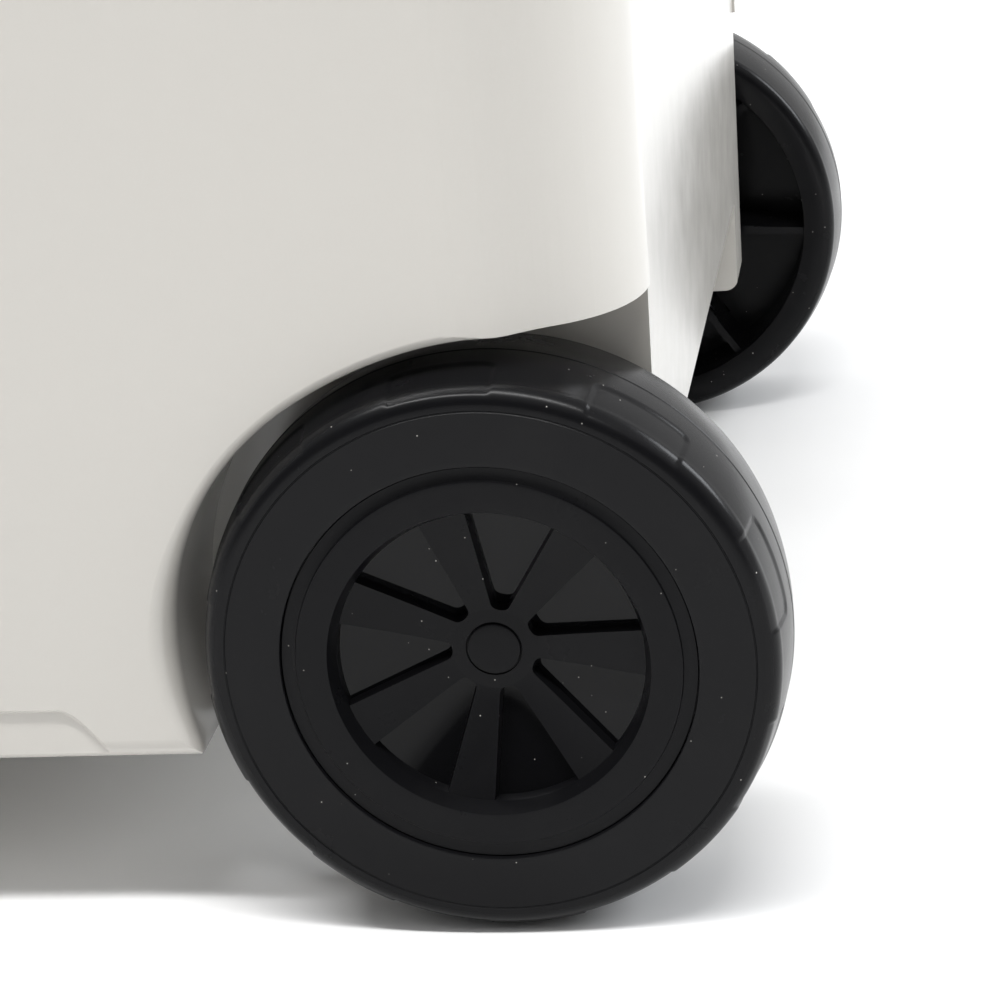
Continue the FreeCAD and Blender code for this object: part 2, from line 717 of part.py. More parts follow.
def make_lid(holes):
    """Hollow lid: outer moulding with two cup rests, foam, and the liner with its plug."""
    outside = lid_block("lid_outside", "0", "lid_bottom_z", "lid_top_z")
    fillet(outside, "lid_rounding", at_height(value("lid_top_z")))
    panel = sketch(outside, "lid_panel", "XY", "lid_top_z - panel_depth")
    polygon(panel, rectangle("foot_end_x + panel_margin", "-half_width + panel_margin",
                             "end_x - panel_margin", "half_width - panel_margin"))
    pocket(outside, panel, "XY", "panel_depth + 1")
    skin = "lid_top_z - panel_depth - shell_wall"
    ledge = "rim_z + seal_clearance + seal_height"
    inside = lid_block("lid_inside", "shell_wall", "lid_bottom_z - 1", skin)
    cup_floor = "lid_top_z - panel_depth - cup_depth"
    walls = cup_set("cup_wall", "shell_wall", cup_floor + " - shell_wall", skin)
    wells = cup_set("cup_well", "0", cup_floor, "lid_top_z + 1")
    shell = cut("lid_hollow", outside, cut("lid_space", inside, fuse("cup_walls", walls)))
    node(cut("lid_outer_solid", shell, fuse("lid_cuts", wells + holes)), "lid_outer")
    top = ledge + " + liner_wall"
    tray = fuse("lid_tray", [lid_block("tray_plate", "shell_wall", ledge, top),
                             plug_block("plug_outside", "0", "rim_z - plug_depth", top)])
    hollow = plug_block("plug_inside", "liner_wall", "rim_z - plug_depth + liner_wall", top)
    node(cut("lid_liner_solid", tray, hollow), "lid_liner")
    fill = fuse("lid_fill", [lid_block("fill_slab", "shell_wall", top, skin), hollow])
    node(cut("lid_foam_solid", fill, fuse("fill_cups", walls)), "lid_foam")
    seal_in = plug_block("seal_inside", "-(plug_gap + 4)", "rim_z + seal_clearance", ledge)
    seal_out = plug_block("seal_outside", "-(plug_gap + 4 + seal_width)",
                          "rim_z + seal_clearance", ledge)
    node(cut("seal_ring", seal_out, seal_in), "lid_gasket")


# ---------------------------------------------------------------- hinges

def make_hinges():
    """Two plate hinges on the far side; returns the screw holes of box and lid."""
    body_spots, lid_spots = [], []
    for side in ENDS.values():
        centre = "mid_x + %d * hinge_spread / 2" % side
        for step in (-1, 1):
            x = "%s + %d * hinge_width * 0.3" % (centre, step)
            body_spots.append((x, "half_width", "hinge_z - hinge_screw_drop"))
            lid_spots.append((x, "half_width", "hinge_z + hinge_screw_drop"))
    body_holes = screw_set("hinge_body_screws", body_spots, "Y", 1, "plate_thickness")
    lid_holes = screw_set("hinge_lid_screws", lid_spots, "Y", 1, "plate_thickness")
    for word, side in ENDS.items():
        make_hinge(word, "(mid_x + %d * hinge_spread / 2)" % side, body_holes, lid_holes)
    return body_holes, lid_holes


def make_hinge(word, centre, body_holes, lid_holes):
    near, far = "half_width", "half_width + plate_thickness"
    left, right = centre + " - hinge_width / 2", centre + " + hinge_width / 2"
    third = "hinge_width / 3"
    body_parts = [block("hinge_base_plate_" + word, (left, near, "hinge_z - hinge_height - 2"),
                        (right, far, "hinge_z - leaf_gap"))]
    lid_parts = [block("hinge_flap_plate_" + word, (left, near, "hinge_z + leaf_gap"),
                       (right, far, "hinge_z + hinge_height + 2"))]
    spans = [(body_parts, left, left + " + %s - knuckle_gap" % third),
             (lid_parts, left + " + " + third, right + " - " + third),
             (body_parts, right + " - %s + knuckle_gap" % third, right)]
    for i, (parts, start, end) in enumerate(spans):
        name = "%s_%d" % (word, i)
        parts.append(cylinder("knuckle_" + name, "knuckle_radius", "(%s) - (%s)" % (end, start),
                              (start, "hardware_y", "hinge_z"), "X"))
        low, high = ("-knuckle_web", "0") if parts is body_parts else ("0", "knuckle_web")
        parts.append(block("knuckle_web_" + name, (start, near, "hinge_z + (%s)" % low),
                           (end, "hardware_y", "hinge_z + " + high)))
    pin_hole = cylinder("hinge_pin_hole_" + word, "pin_radius + running_clearance",
                        "hinge_width + 2", (left + " - 1", "hardware_y", "hinge_z"), "X")
    finish_leaf("hinge_base_" + word, body_parts, [pin_hole, body_holes])
    finish_leaf("hinge_flap_" + word, lid_parts, [pin_hole, lid_holes])
    node(cylinder("hinge_pin_rod_" + word, "pin_radius", "hinge_width",
                  (left, "hardware_y", "hinge_z"), "X"), "hinge_pin_" + word)


def finish_leaf(label, parts, cutters):
    blank = fuse(label + "_blank", parts)
    cutter = fuse(label + "_cutters", cutters)
    node(cut(label + "_solid", blank, cutter), label)


# ---------------------------------------------------------------- latches

def make_latches():
    """Two swing latches on the near side; returns the screw holes of box and lid."""
    lid_spots, keeper_spots = [], []
    for side in ENDS.values():
        centre = "mid_x + %d * latch_spread / 2" % side
        for step in (-1, 1):
            x = "%s + %d * (latch_width + ear_width) / 2" % (centre, step)
            lid_spots.append((x, "-half_width", "latch_z - 7"))
            keeper_spots.append(("%s + %d * latch_width * 0.25" % (centre, step),
                                 "-half_width", "keeper_z + keeper_height - 6"))
    lid_holes = screw_set("latch_lid_screws", lid_spots, "Y", -1, "plate_thickness")
    keeper_holes = screw_set("latch_keeper_screws", keeper_spots, "Y", -1, "plate_thickness")
    for word, side in ENDS.items():
        centre = "(mid_x + %d * latch_spread / 2)" % side
        make_latch_mount(word, centre, lid_holes)
        make_latch_lever(word, centre)
        make_keeper(word, centre, keeper_holes)
    return keeper_holes, lid_holes


def make_latch_mount(word, centre, holes):
    """Two ears on the lid that carry the latch's pin."""
    outer = "latch_width / 2 + ear_width"
    inner = "latch_width / 2 + side_gap"
    parts = []
    for step in (-1, 1):
        a = "%s + %d * (%s)" % (centre, step, outer)
        b = "%s + %d * (%s)" % (centre, step, inner)
        low, high = (a, b) if step < 0 else (b, a)
        name = "%s_%s" % (word, "a" if step < 0 else "b")
        parts.append(block("ear_plate_" + name, (low, "-half_width - plate_thickness",
                                              "latch_z - ear_drop"),
                           (high, "-half_width", "latch_z + ear_rise")))
        parts.append(block("ear_" + name, (low, "-hardware_y - 4", "latch_z - 2"),
                           (high, "-half_width", "latch_z + ear_rise")))
    parts.append(block("ear_bridge_" + word,
                       ("%s - (%s)" % (centre, inner), "-half_width - 1.6", "latch_z - ear_drop"),
                       ("%s + %s" % (centre, inner), "-half_width", "latch_z + ear_rise")))
    bore = cylinder("latch_bore_" + word, "pin_radius", "latch_width + 2 * ear_width + 2",
                    (centre + " - latch_width / 2 - ear_width - 1", "-hardware_y", "pivot_z"), "X")
    finish_leaf("latch_mount_" + word, parts, [bore, holes])
    node(cylinder("latch_rod_" + word, "pin_radius", "latch_width + 2 * ear_width",
                  (centre + " - latch_width / 2 - ear_width", "-hardware_y", "pivot_z"), "X"),
         "latch_pin_" + word)


def make_latch_lever(word, centre):
    """A curved lever with a barrel at the top and a hook that catches the keeper."""
    front = "-hardware_y - knuckle_radius"
    back = front + " + latch_thickness"
    hook_top = "keeper_z - hook_clearance"
    hook_low = "keeper_z - hook_height"
    lip = "-half_width - hardware_depth"
    lip_low = "keeper_z - lip_drop"
    shoulder = "latch_z - 6"
    profile = [
        (front + " + 1", "pivot_z"), (front, shoulder), (front, hook_low + " - 2"),
        (lip, lip_low + " + 2"), (lip, lip_low), (front + " + 3", lip_low),
        (back, hook_low), ("-half_width - 1", hook_low),
        ("-half_width - 1", hook_top), (back, hook_top), (back, shoulder),
        ("-hardware_y + 2", "pivot_z"),
    ]
    start, end = centre + " - latch_width / 2", centre + " + latch_width / 2"
    lever = prism("lever_blank_" + word, "YZ", profile, start, end)
    fillet(lever, "0.8")
    barrel = cylinder("lever_barrel_" + word, "knuckle_radius", "latch_width",
                      (start, "-hardware_y", "pivot_z"), "X")
    bore = cylinder("lever_bore_" + word, "pin_radius + running_clearance", "latch_width + 2",
                    (start + " - 1", "-hardware_y", "pivot_z"), "X")
    node(cut("lever_" + word, fuse("lever_whole_" + word, [lever, barrel]), bore),
         "latch_lever_" + word)


def make_keeper(word, centre, holes):
    left, right = centre + " - latch_width * 0.4", centre + " + latch_width * 0.4"
    parts = [
        block("keeper_plate_" + word, (left, "-half_width - plate_thickness", "keeper_z"),
              (right, "-half_width", "keeper_z + keeper_height")),
        block("keeper_lip_" + word, (left, "-half_width - hook_depth", "keeper_z"),
              (right, "-half_width", "keeper_z + keeper_lip")),
    ]
    finish_leaf("latch_keeper_" + word, parts, [holes])


# ---------------------------------------------------------------- handles

def bail_outline(half, arm, drop, bar, pivot):
    """A U that hangs from its pivots, with the bar at the bottom."""
    inner = "(%s - %s)" % (half, arm)
    top = "%s + %s / 2" % (pivot, arm)
    low = "%s - %s" % (pivot, drop)
    return [
        ("-(%s)" % half, low + " - " + bar), (half, low + " - " + bar), (half, top), (inner, top),
        (inner, low + " + " + bar), ("-" + inner, low + " + " + bar),
        ("-" + inner, top), ("-(%s)" % half, top),
    ]


def make_tow_handle():
    """The long handle that swings out from the end without wheels."""
    half = "(tow_width / 2)"
    body = add_body("tow_frame")
    outline = sketch(body, "tow_outline", "YZ", "tow_x - tow_bar / 2")
    polygon(outline, bail_outline(half, "tow_arm", "tow_drop", "tow_cross", "tow_z"))
    pad(body, outline, "YZ", "tow_bar")
    fillet(body, "11", along("x"))
    fillet(body, "3")
    bores = [cylinder("tow_bore_" + word, "pivot_radius + running_clearance", "tow_arm + 4",
                      ("tow_x", "%d * tow_width / 2 - %s" % (side, "2" if side < 0 else "tow_arm - 2"),
                       "tow_z"), "Y") for word, side in SIDES.items()]
    start = ("tow_x", "-grip_length / 2", "tow_z - tow_drop")
    core = cylinder("tow_grip_core", "grip_core", "grip_length", start, "Y")
    seat = cylinder("tow_grip_seat", "grip_radius", "grip_length", start, "Y")
    bare = cut("tow_frame_bare", body, fuse("tow_cuts", bores + [seat]))
    node(fuse("tow_frame_solid", [bare, core]), "tow_handle")
    node(ring("tow_sleeve", "grip_radius", "grip_core", "grip_length", start, "Y"), "tow_grip")
    return make_brackets("tow", -1, "tow_width / 2", "tow_x", "tow_z", "foot_end_x")


def make_carry_handle():
    """The short bail handle above the wheels."""
    half = "(carry_width / 2)"
    body = add_body("carry_frame")
    outline = sketch(body, "carry_outline", "YZ", "carry_x - carry_bar / 2")
    polygon(outline, bail_outline(half, "carry_arm", "carry_drop", "carry_cross",
                                  "carry_z"))
    pad(body, outline, "YZ", "carry_bar")
    fillet(body, "6", along("x"))
    fillet(body, "2.5")
    bores = [cylinder("carry_bore_" + word, "pivot_radius + running_clearance", "carry_arm + 4",
                      ("carry_x", "%d * carry_width / 2 - %s"
                       % (side, "2" if side < 0 else "carry_arm - 2"), "carry_z"), "Y")
             for word, side in SIDES.items()]
    node(cut("carry_frame_solid", body, fuse("carry_cuts", bores)), "carry_handle")
    return make_brackets("carry", 1, "carry_width / 2", "carry_x", "carry_z", "end_x")


def make_brackets(name, end, half, pivot_x, pivot_z, wall_x):
    """A clevis block outside each arm, its pivot pin and its two screws."""
    spots = [(wall_x, "%d * (%s + side_gap + bracket_wall + flange_width / 2)" % (side, half),
              "%s + %d * bracket_height * 0.3" % (pivot_z, step))
             for side in SIDES.values() for step in (-1, 1)]
    holes = screw_set(name + "_bracket_screws", spots, "X", end, "plate_thickness")
    for word, side in SIDES.items():
        inner = "%s + side_gap" % half
        outer = inner + " + bracket_wall"
        flange = outer + " + flange_width"

        def span(a, b):
            low, high = "%d * (%s)" % (side, a), "%d * (%s)" % (side, b)
            return (low, high) if side > 0 else (high, low)
        face = "%s + %d * plate_thickness" % (wall_x, end)
        tip = "%s + %d * (pivot_radius + 5)" % (pivot_x, end)
        lows = (wall_x, tip) if end > 0 else (tip, wall_x)
        plate = (wall_x, face) if end > 0 else (face, wall_x)
        y = span(inner, outer)
        cheek = block("%s_cheek_%s" % (name, word), (lows[0], y[0], pivot_z + " - cheek_height / 2"),
                      (lows[1], y[1], pivot_z + " + cheek_height / 2"))
        y = span(inner, flange)
        base = block("%s_base_%s" % (name, word),
                     (plate[0], y[0], pivot_z + " - bracket_height / 2"),
                     (plate[1], y[1], pivot_z + " + bracket_height / 2"))
        fillet(base, "4", along("x"))
        pin_span = span("%s - 13" % half, outer)
        pin = cylinder("%s_pin_rod_%s" % (name, word), "pivot_radius",
                       "bracket_wall + side_gap + 13", (pivot_x, pin_span[0], pivot_z), "Y")
        finish_leaf("%s_bracket_%s" % (name, word), [cheek, base], [pin, holes])
        node(group("%s_pin_set_%s" % (name, word), [pin]), "%s_pin_%s" % (name, word))
    return holes


# ---------------------------------------------------------------- drain and feet

def make_drain():
    """A flanged spout through the far wall, its seal, inside nut and screw cap."""
    spout = "drain_radius + spout_wall"
    tip = "half_width + hardware_depth - 4"
    inside = "half_width - insulation - 7"
    tube = cylinder("drain_tube", spout, "(%s) - (%s)" % (tip, inside),
                    ("drain_x", inside, "drain_z"), "Y")
    flange = cylinder("drain_flange_disc", "drain_flange - 3", "flange_thickness",
                      ("drain_x", "half_width + drain_seal", "drain_z"), "Y")
    bore = cylinder("drain_bore", "drain_radius", "insulation + 40",
                    ("drain_x", inside + " - 5", "drain_z"), "Y")
    node(cut("drain_spout_solid", fuse("drain_blank", [tube, flange]), bore), "drain_spout")
    node(ring("drain_seal_ring", "drain_flange - 3", spout, "drain_seal",
              ("drain_x", "half_width", "drain_z"), "Y"), "drain_gasket")
    hexagon = doc.addObject("Part::Prism", "drain_hex")
    hexagon.Polygon = 6
    hexagon.Placement = FreeCAD.Placement(Vector(), TURN["Y"])
    bind(hexagon, "Circumradius", spout + " + 3")
    bind(hexagon, "Height", "6")
    place(hexagon, "drain_x", "half_width - insulation - 6", "drain_z")
    hole = cylinder("drain_hex_hole", spout, "10", ("drain_x", inside, "drain_z"), "Y")
    node(cut("drain_nut_solid", hexagon, hole), "drain_nut")
    cap_low = "half_width + drain_seal + flange_thickness + 0.3"
    cap = cylinder("cap_cup", "drain_flange - 4", "half_width + hardware_depth - (%s)" % cap_low,
                   ("drain_x", cap_low, "drain_z"), "Y")
    room = cylinder("cap_room", spout + " + running_clearance", "(%s) + 0.3 - (%s)" % (tip, cap_low),
                    ("drain_x", cap_low, "drain_z"), "Y")
    grips = []
    for i in range(FLUTES):
        turn = i * 360 / FLUTES
        x = "drain_x + (drain_flange - 3.4) * cos(%g deg)" % turn
        z = "drain_z + (drain_flange - 3.4) * sin(%g deg)" % turn
        grips.append(cylinder("cap_flute_%d" % i, "1.6", "hardware_depth", (x, cap_low, z), "Y"))
    node(cut("drain_cap_solid", cap, fuse("cap_cuts", [room] + grips)), "drain_cap")


def make_feet():
    """Two moulded feet under the other end, with rubber pads; returns their screw holes."""
    spots = [("foot_x + foot_length / 2 + %d * 22" % step,
              "%d * (foot_y + foot_width / 2)" % side, "bottom_z")
             for side in SIDES.values() for step in (-1, 1)]
    holes = []
    screws = []
    for i, (x, y, z) in enumerate(spots):
        length = "bottom_z - tread_pad - 12 + shell_wall"
        shank = cylinder("foot_shank_%d" % i, "screw_radius", length, (x, y, "tread_pad + 12"))
        head = cylinder("foot_head_%d" % i, "head_radius", "head_height",
                        (x, y, "tread_pad + 12 - head_height"))
        holes.append(cylinder("foot_hole_%d" % i, "screw_radius", length, (x, y, "tread_pad + 12")))
        holes.append(cylinder("foot_counter_%d" % i, "head_radius", "12", (x, y, "tread_pad")))
        screws.append(fuse("foot_screw_%d" % i, [shank, head]))
    node(group("foot_screw_set", screws), "foot_screws")
    hole_set = group("foot_screw_holes", holes)
    for word, side in SIDES.items():
        low, high = "foot_y", "foot_y + foot_width"
        y = (low, high) if side > 0 else ("-(%s)" % high, "-(%s)" % low)
        foot = block("foot_block_" + word, ("foot_x", y[0], "tread_pad"),
                     ("foot_x + foot_length", y[1], "bottom_z"))
        fillet(foot, "foot_rounding", along("z"))
        node(cut("foot_solid_" + word, foot, hole_set), "foot_" + word)
        pad_block = block("foot_pad_block_" + word, ("foot_x + 4", y[0] + " + 4", "0"),
                          ("foot_x + foot_length - 4", y[1] + " - 4", "tread_pad"))
        fillet(pad_block, "foot_rounding - 4", along("z"))
        node(pad_block, "foot_pad_" + word)
    return hole_set


# ---------------------------------------------------------------- assembly and files

def build():
    hinge_box, hinge_lid = make_hinges()
    latch_box, latch_lid = make_latches()
    tow = make_tow_handle()
    carry = make_carry_handle()
    feet = make_feet()
    make_box([hinge_box, latch_box, tow, carry, feet])
    make_lid([hinge_lid, latch_lid])
    make_running_gear()
    make_drain()


def check():
    doc.recompute()
    faults = [item.Name for item in doc.Objects
              if "Invalid" in item.State or "Error" in item.State]
    if faults:
        raise RuntimeError("failed objects: " + ", ".join(faults))
    for item in nodes:
        if item.Shape.isNull() or not item.Shape.isValid() or not item.Shape.Solids:
            raise RuntimeError("bad shape: " + item.Label)


def write():
    os.makedirs("parts", exist_ok=True)
    for item in nodes:
        item.Shape.exportStep("parts/%s.step" % item.Label)


build()
check()
write()
print("%d nodes" % len(nodes))
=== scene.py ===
import json
import math

import bmesh
import bpy
from mathutils import Matrix, Vector


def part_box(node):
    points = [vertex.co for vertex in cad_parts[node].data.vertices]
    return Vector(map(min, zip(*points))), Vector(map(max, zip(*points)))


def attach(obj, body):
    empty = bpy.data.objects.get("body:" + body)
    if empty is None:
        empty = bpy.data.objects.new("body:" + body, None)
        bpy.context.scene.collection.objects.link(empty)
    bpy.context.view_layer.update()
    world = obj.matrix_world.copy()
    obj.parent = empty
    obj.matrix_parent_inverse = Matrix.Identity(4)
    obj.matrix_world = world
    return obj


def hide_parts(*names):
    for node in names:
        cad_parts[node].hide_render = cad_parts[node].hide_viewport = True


# The looks of a hard cooler on wheels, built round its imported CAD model. Everything is in metres.
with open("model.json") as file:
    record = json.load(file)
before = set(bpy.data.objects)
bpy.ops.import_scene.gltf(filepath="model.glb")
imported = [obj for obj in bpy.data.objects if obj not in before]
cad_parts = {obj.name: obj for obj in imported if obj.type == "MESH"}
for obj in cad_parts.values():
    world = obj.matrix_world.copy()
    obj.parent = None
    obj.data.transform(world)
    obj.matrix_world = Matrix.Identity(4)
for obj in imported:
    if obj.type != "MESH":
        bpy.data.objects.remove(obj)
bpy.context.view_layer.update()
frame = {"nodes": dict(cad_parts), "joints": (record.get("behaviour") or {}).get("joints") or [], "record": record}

MM = 0.001
JOINTS = {joint["name"]: joint for joint in frame["joints"]}
SLOT_OF = {part["node"]: part["material_slot"] for part in frame["record"]["subparts"]}
NEAR, FAR = -1, 1


# ---------------------------------------------------------------- places read from the frame

class Place:
    """Sizes and positions that several pieces share."""
    shell_low, shell_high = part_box("outer_shell")
    lid_low, lid_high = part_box("lid_outer")
    axle = Vector(JOINTS["wheel_near_spin"]["pos_m"])
    wheel_low, wheel_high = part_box("wheel_near")
    wheel_radius = (wheel_high.x - wheel_low.x) / 2
    boss_proud = 3 * MM
    wheel_width = wheel_high.y - wheel_low.y - boss_proud
    wheel_face = abs(wheel_low.y)
    wall = 3 * MM
    corner = 44 * MM
    base_round = 6 * MM
    bush_flange = 3.5 * MM
    well_wall = abs(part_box("axle_bush_near")[0].y) - bush_flange
    arch_radius = wheel_radius + 7.5 * MM
    tunnel_roof = axle.z + 16 * MM
    lifted_foot = axle.z - 14 * MM
    lean_top = 188 * MM


# ---------------------------------------------------------------- mesh helpers

SHARP = 32
CORNER_STEPS = 18


def smoothstep(low, high, x):
    t = min(max((x - low) / (high - low), 0.0), 1.0)
    return t * t * (3 - 2 * t)


def add_mesh(name, points, faces):
    mesh = bpy.data.meshes.new(name)
    mesh.from_pydata([tuple(p) for p in points], [], faces)
    mesh.update()
    piece = bpy.data.objects.new(name, mesh)
    bpy.context.scene.collection.objects.link(piece)
    return piece


def tidy_mesh(piece, sharp_degrees=SHARP, merge=1e-6):
    """Merges doubled points, turns faces outward and keeps edges above an angle sharp."""
    work = bmesh.new()
    work.from_mesh(piece.data)
    bmesh.ops.remove_doubles(work, verts=work.verts, dist=merge)
    bmesh.ops.dissolve_degenerate(work, edges=work.edges, dist=merge)
    bmesh.ops.recalc_face_normals(work, faces=work.faces)
    work.to_mesh(piece.data)
    work.free()
    for face in piece.data.polygons:
        face.use_smooth = True
    piece.data.set_sharp_from_angle(angle=math.radians(sharp_degrees))
    return piece


def loft(name, rings, wrap=False):
    """Quads between rings of equal length; one face closes each end, or the last ring meets the first."""
    count = len(rings[0])
    points = [p for ring in rings for p in ring]
    faces = []
    total = len(rings)
    for i in range(total if wrap else total - 1):
        a, b = i * count, ((i + 1) % total) * count
        for j in range(count):
            k = (j + 1) % count
            faces.append((a + j, a + k, b + k, b + j))
    if not wrap:
        faces.append(tuple(reversed(range(count))))
        faces.append(tuple((total - 1) * count + j for j in range(count)))
    return add_mesh(name, points, faces)


def arc(centre_x, centre_y, radius, start, end, steps):
    """Points of an arc in a plane, from one angle to another in degrees."""
    angles = [math.radians(start + (end - start) * i / steps) for i in range(steps + 1)]
    return [(centre_x + radius * math.cos(a), centre_y + radius * math.sin(a)) for a in angles]


def circle(centre_x, centre_y, radius, count):
    """A number of points once round a circle in a plane."""
    return arc(centre_x, centre_y, radius, 0, 360 - 360 / count, count - 1)


def spread(start, end, step):
    """Evenly spaced values from start up to, and not including, end."""
    count = max(1, round(abs(end - start) / step))
    return [start + (end - start) * i / count for i in range(count)]


def plan_ring(low, high, radius, inset, z):
    """A rounded rectangle at one height, drawn in by an inset."""
    r = max(radius - inset, 0.2 * MM)
    left, right = low.x + inset + r, high.x - inset - r
    near, far = low.y + inset + r, high.y - inset - r
    corners = ((right, far, 0), (left, far, 90), (left, near, 180), (right, near, 270))
    ring = []
    for x, y, start in corners:
        ring += [(px, py, z) for px, py in arc(x, y, r, start, start + 90, CORNER_STEPS)]
    return ring


def apply_modifiers(piece):
    """Puts the result of a piece's modifiers into its own mesh."""
    bpy.context.view_layer.update()
    graph = bpy.context.evaluated_depsgraph_get()
    mesh = bpy.data.meshes.new_from_object(piece.evaluated_get(graph))
    piece.modifiers.clear()
    piece.data = mesh


def carve(piece, cutters):
    """Cuts solid shapes out of a piece, then removes them."""
    for cutter in cutters:
        change = piece.modifiers.new("carve", "BOOLEAN")
        change.operation = "DIFFERENCE"
        change.solver = "EXACT"
        change.object = cutter
        apply_modifiers(piece)
        bpy.data.objects.remove(cutter)
    return piece


def weight_normals(piece):
    """Lets large flat faces keep their own normal where they meet rounded edges."""
    for face in piece.data.polygons:
        face.use_smooth = True
    piece.data.set_sharp_from_angle(angle=math.radians(SHARP))
    change = piece.modifiers.new("normals", "WEIGHTED_NORMAL")
    change.keep_sharp = True
    change.weight = 100
    apply_modifiers(piece)
    return piece


def lathe(name, profile, centre, side, columns, shape=None):
    """Turns a closed (depth, radius) profile about Y; depth runs inward from the wheel's face."""
    rings = []
    for i in range(columns):
        angle = 2 * math.pi * i / columns
        ring = []
        for depth, radius in profile:
            d, r, a = shape(depth, radius, angle) if shape else (depth, radius, angle)
            ring.append((centre.x + r * math.cos(a), centre.y - side * d, centre.z + r * math.sin(a)))
        rings.append(ring)
    return tidy_mesh(loft(name, rings, wrap=True))


def show(piece, body, slot, node):
    """Gives a piece its body, its slot and that slot's finish, and hides the CAD node that it stands for."""
    piece.data.materials.clear()
    piece.data.materials.append(FINISHES[slot])
    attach(piece, body)
    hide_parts(node)


# ---------------------------------------------------------------- materials

class Shader:
    """A short way to write a node tree."""

    def __init__(self, name):
        self.material = bpy.data.materials.new(name)
        self.material.use_nodes = True
        self.tree = self.material.node_tree
        self.surface = self.tree.nodes["Principled BSDF"]
        coordinates = self.add("ShaderNodeTexCoord")
        self.place = coordinates.outputs["Object"]

    def add(self, kind, **settings):
        node = self.tree.nodes.new(kind)
        for key, value in settings.items():
            setattr(node, key, value)
        return node

    def link(self, output, target):
        self.tree.links.new(output, target)

    def noise(self, scale, detail=3.0, roughness=0.5):
        node = self.add("ShaderNodeTexNoise")
        node.inputs["Scale"].default_value = scale
        node.inputs["Detail"].default_value = detail
        node.inputs["Roughness"].default_value = roughness
        self.link(self.place, node.inputs["Vector"])
        return node.outputs["Fac"]

    def spots(self, scale, size, share):
        """Small round specks, in only a share of the cells of a pattern."""
        cells = self.add("ShaderNodeTexVoronoi")
        cells.inputs["Scale"].default_value = scale
        self.link(self.place, cells.inputs["Vector"])
        dot = self.spread(cells.outputs["Distance"], size, size * 0.6, 0.0, 1.0)
        pick = self.add("ShaderNodeSeparateColor")
        self.link(cells.outputs["Color"], pick.inputs["Color"])
        chosen = self.spread(pick.outputs["Red"], 1 - share, 1 - share * 0.9, 0.0, 1.0)
        return self.maths("MULTIPLY", dot, chosen)

    def spread(self, value, low, high, to_low, to_high):
        node = self.add("ShaderNodeMapRange")
        self.link(value, node.inputs["Value"])
        for key, number in (("From Min", low), ("From Max", high),
                            ("To Min", to_low), ("To Max", to_high)):
            node.inputs[key].default_value = number
        return node.outputs["Result"]

    def maths(self, operation, a, b):
        node = self.add("ShaderNodeMath", operation=operation)
        for socket, value in zip(node.inputs, (a, b)):
            if isinstance(value, (int, float)):
                socket.default_value = value
            else:
                self.link(value, socket)
        return node.outputs[0]

    def blend(self, amount, dark, light):
        node = self.add("ShaderNodeMix", data_type="RGBA")
        self.link(amount, node.inputs["Factor"])
        for key, value in (("A", dark), ("B", light)):
            socket = next(s for s in node.inputs if s.name == key and s.type == "RGBA")
            if isinstance(value, tuple):
                socket.default_value = (*value, 1.0)
            else:
                self.link(value, socket)
        return next(s for s in node.outputs if s.type == "RGBA")

    def bump(self, height, strength, distance, below=None):
        node = self.add("ShaderNodeBump")
        node.inputs["Strength"].default_value = strength
        node.inputs["Distance"].default_value = distance
        self.link(height, node.inputs["Height"])
        if below is not None:
            self.link(below, node.inputs["Normal"])
        return node.outputs["Normal"]

    def edges(self, low=0.505, high=0.56):
        """Where the surface bends outward, as on a rubbed edge."""
        geometry = self.add("ShaderNodeNewGeometry")
        return self.spread(geometry.outputs["Pointiness"], low, high, 0.0, 1.0)

    def finish(self, colour, roughness, normal=None):
        self.link(colour, self.surface.inputs["Base Color"])
        self.link(roughness, self.surface.inputs["Roughness"])
        if normal is not None:
            self.link(normal, self.surface.inputs["Normal"])
        return self.material


def scaled(colour, factor):
    return tuple(c * factor for c in colour)


def moulded(name, colour, rough=(0.35, 0.45), grain=0.25, grain_scale=1500, tint=0.04,
            wear=0.0, dust=0.0, gloss=0.5, specks=0.0, ripple=0.05):
    """Moulded plastic: fine grain, faint cloudiness and, where asked for, rubbed edges, dust and specks."""
    s = Shader(name)
    cloud = s.noise(9.0, 4.0)
    fine = s.noise(grain_scale, 2.0, 0.6)
    tone = s.blend(cloud, scaled(colour, 1 - tint), scaled(colour, 1 + tint))
    tone = s.blend(s.spread(fine, 0.35, 0.7, 0.0, tint * 2.5), tone, scaled(colour, 1.25))
    if wear:
        tone = s.blend(s.maths("MULTIPLY", s.edges(), wear), tone, scaled(colour, 2.6))
    if dust:
        film = s.maths("MULTIPLY", s.spread(s.noise(35.0, 6.0, 0.7), 0.5, 0.8, 0.0, 1.0), dust)
        tone = s.blend(film, tone, (0.20, 0.19, 0.18))
    if specks:
        small = s.maths("ADD", s.spots(260.0, 0.05, 0.5), s.spots(120.0, 0.03, 0.3))
        tone = s.blend(s.maths("MULTIPLY", small, specks), tone, (0.55, 0.53, 0.50))
    roughness = s.spread(s.noise(60.0, 5.0, 0.6), 0.3, 0.7, *rough)
    normal = s.bump(fine, grain, 0.00012)
    if ripple:
        normal = s.bump(cloud, ripple, 0.0006, normal)
    s.surface.inputs["Specular IOR Level"].default_value = gloss
    return s.finish(tone, roughness, normal)


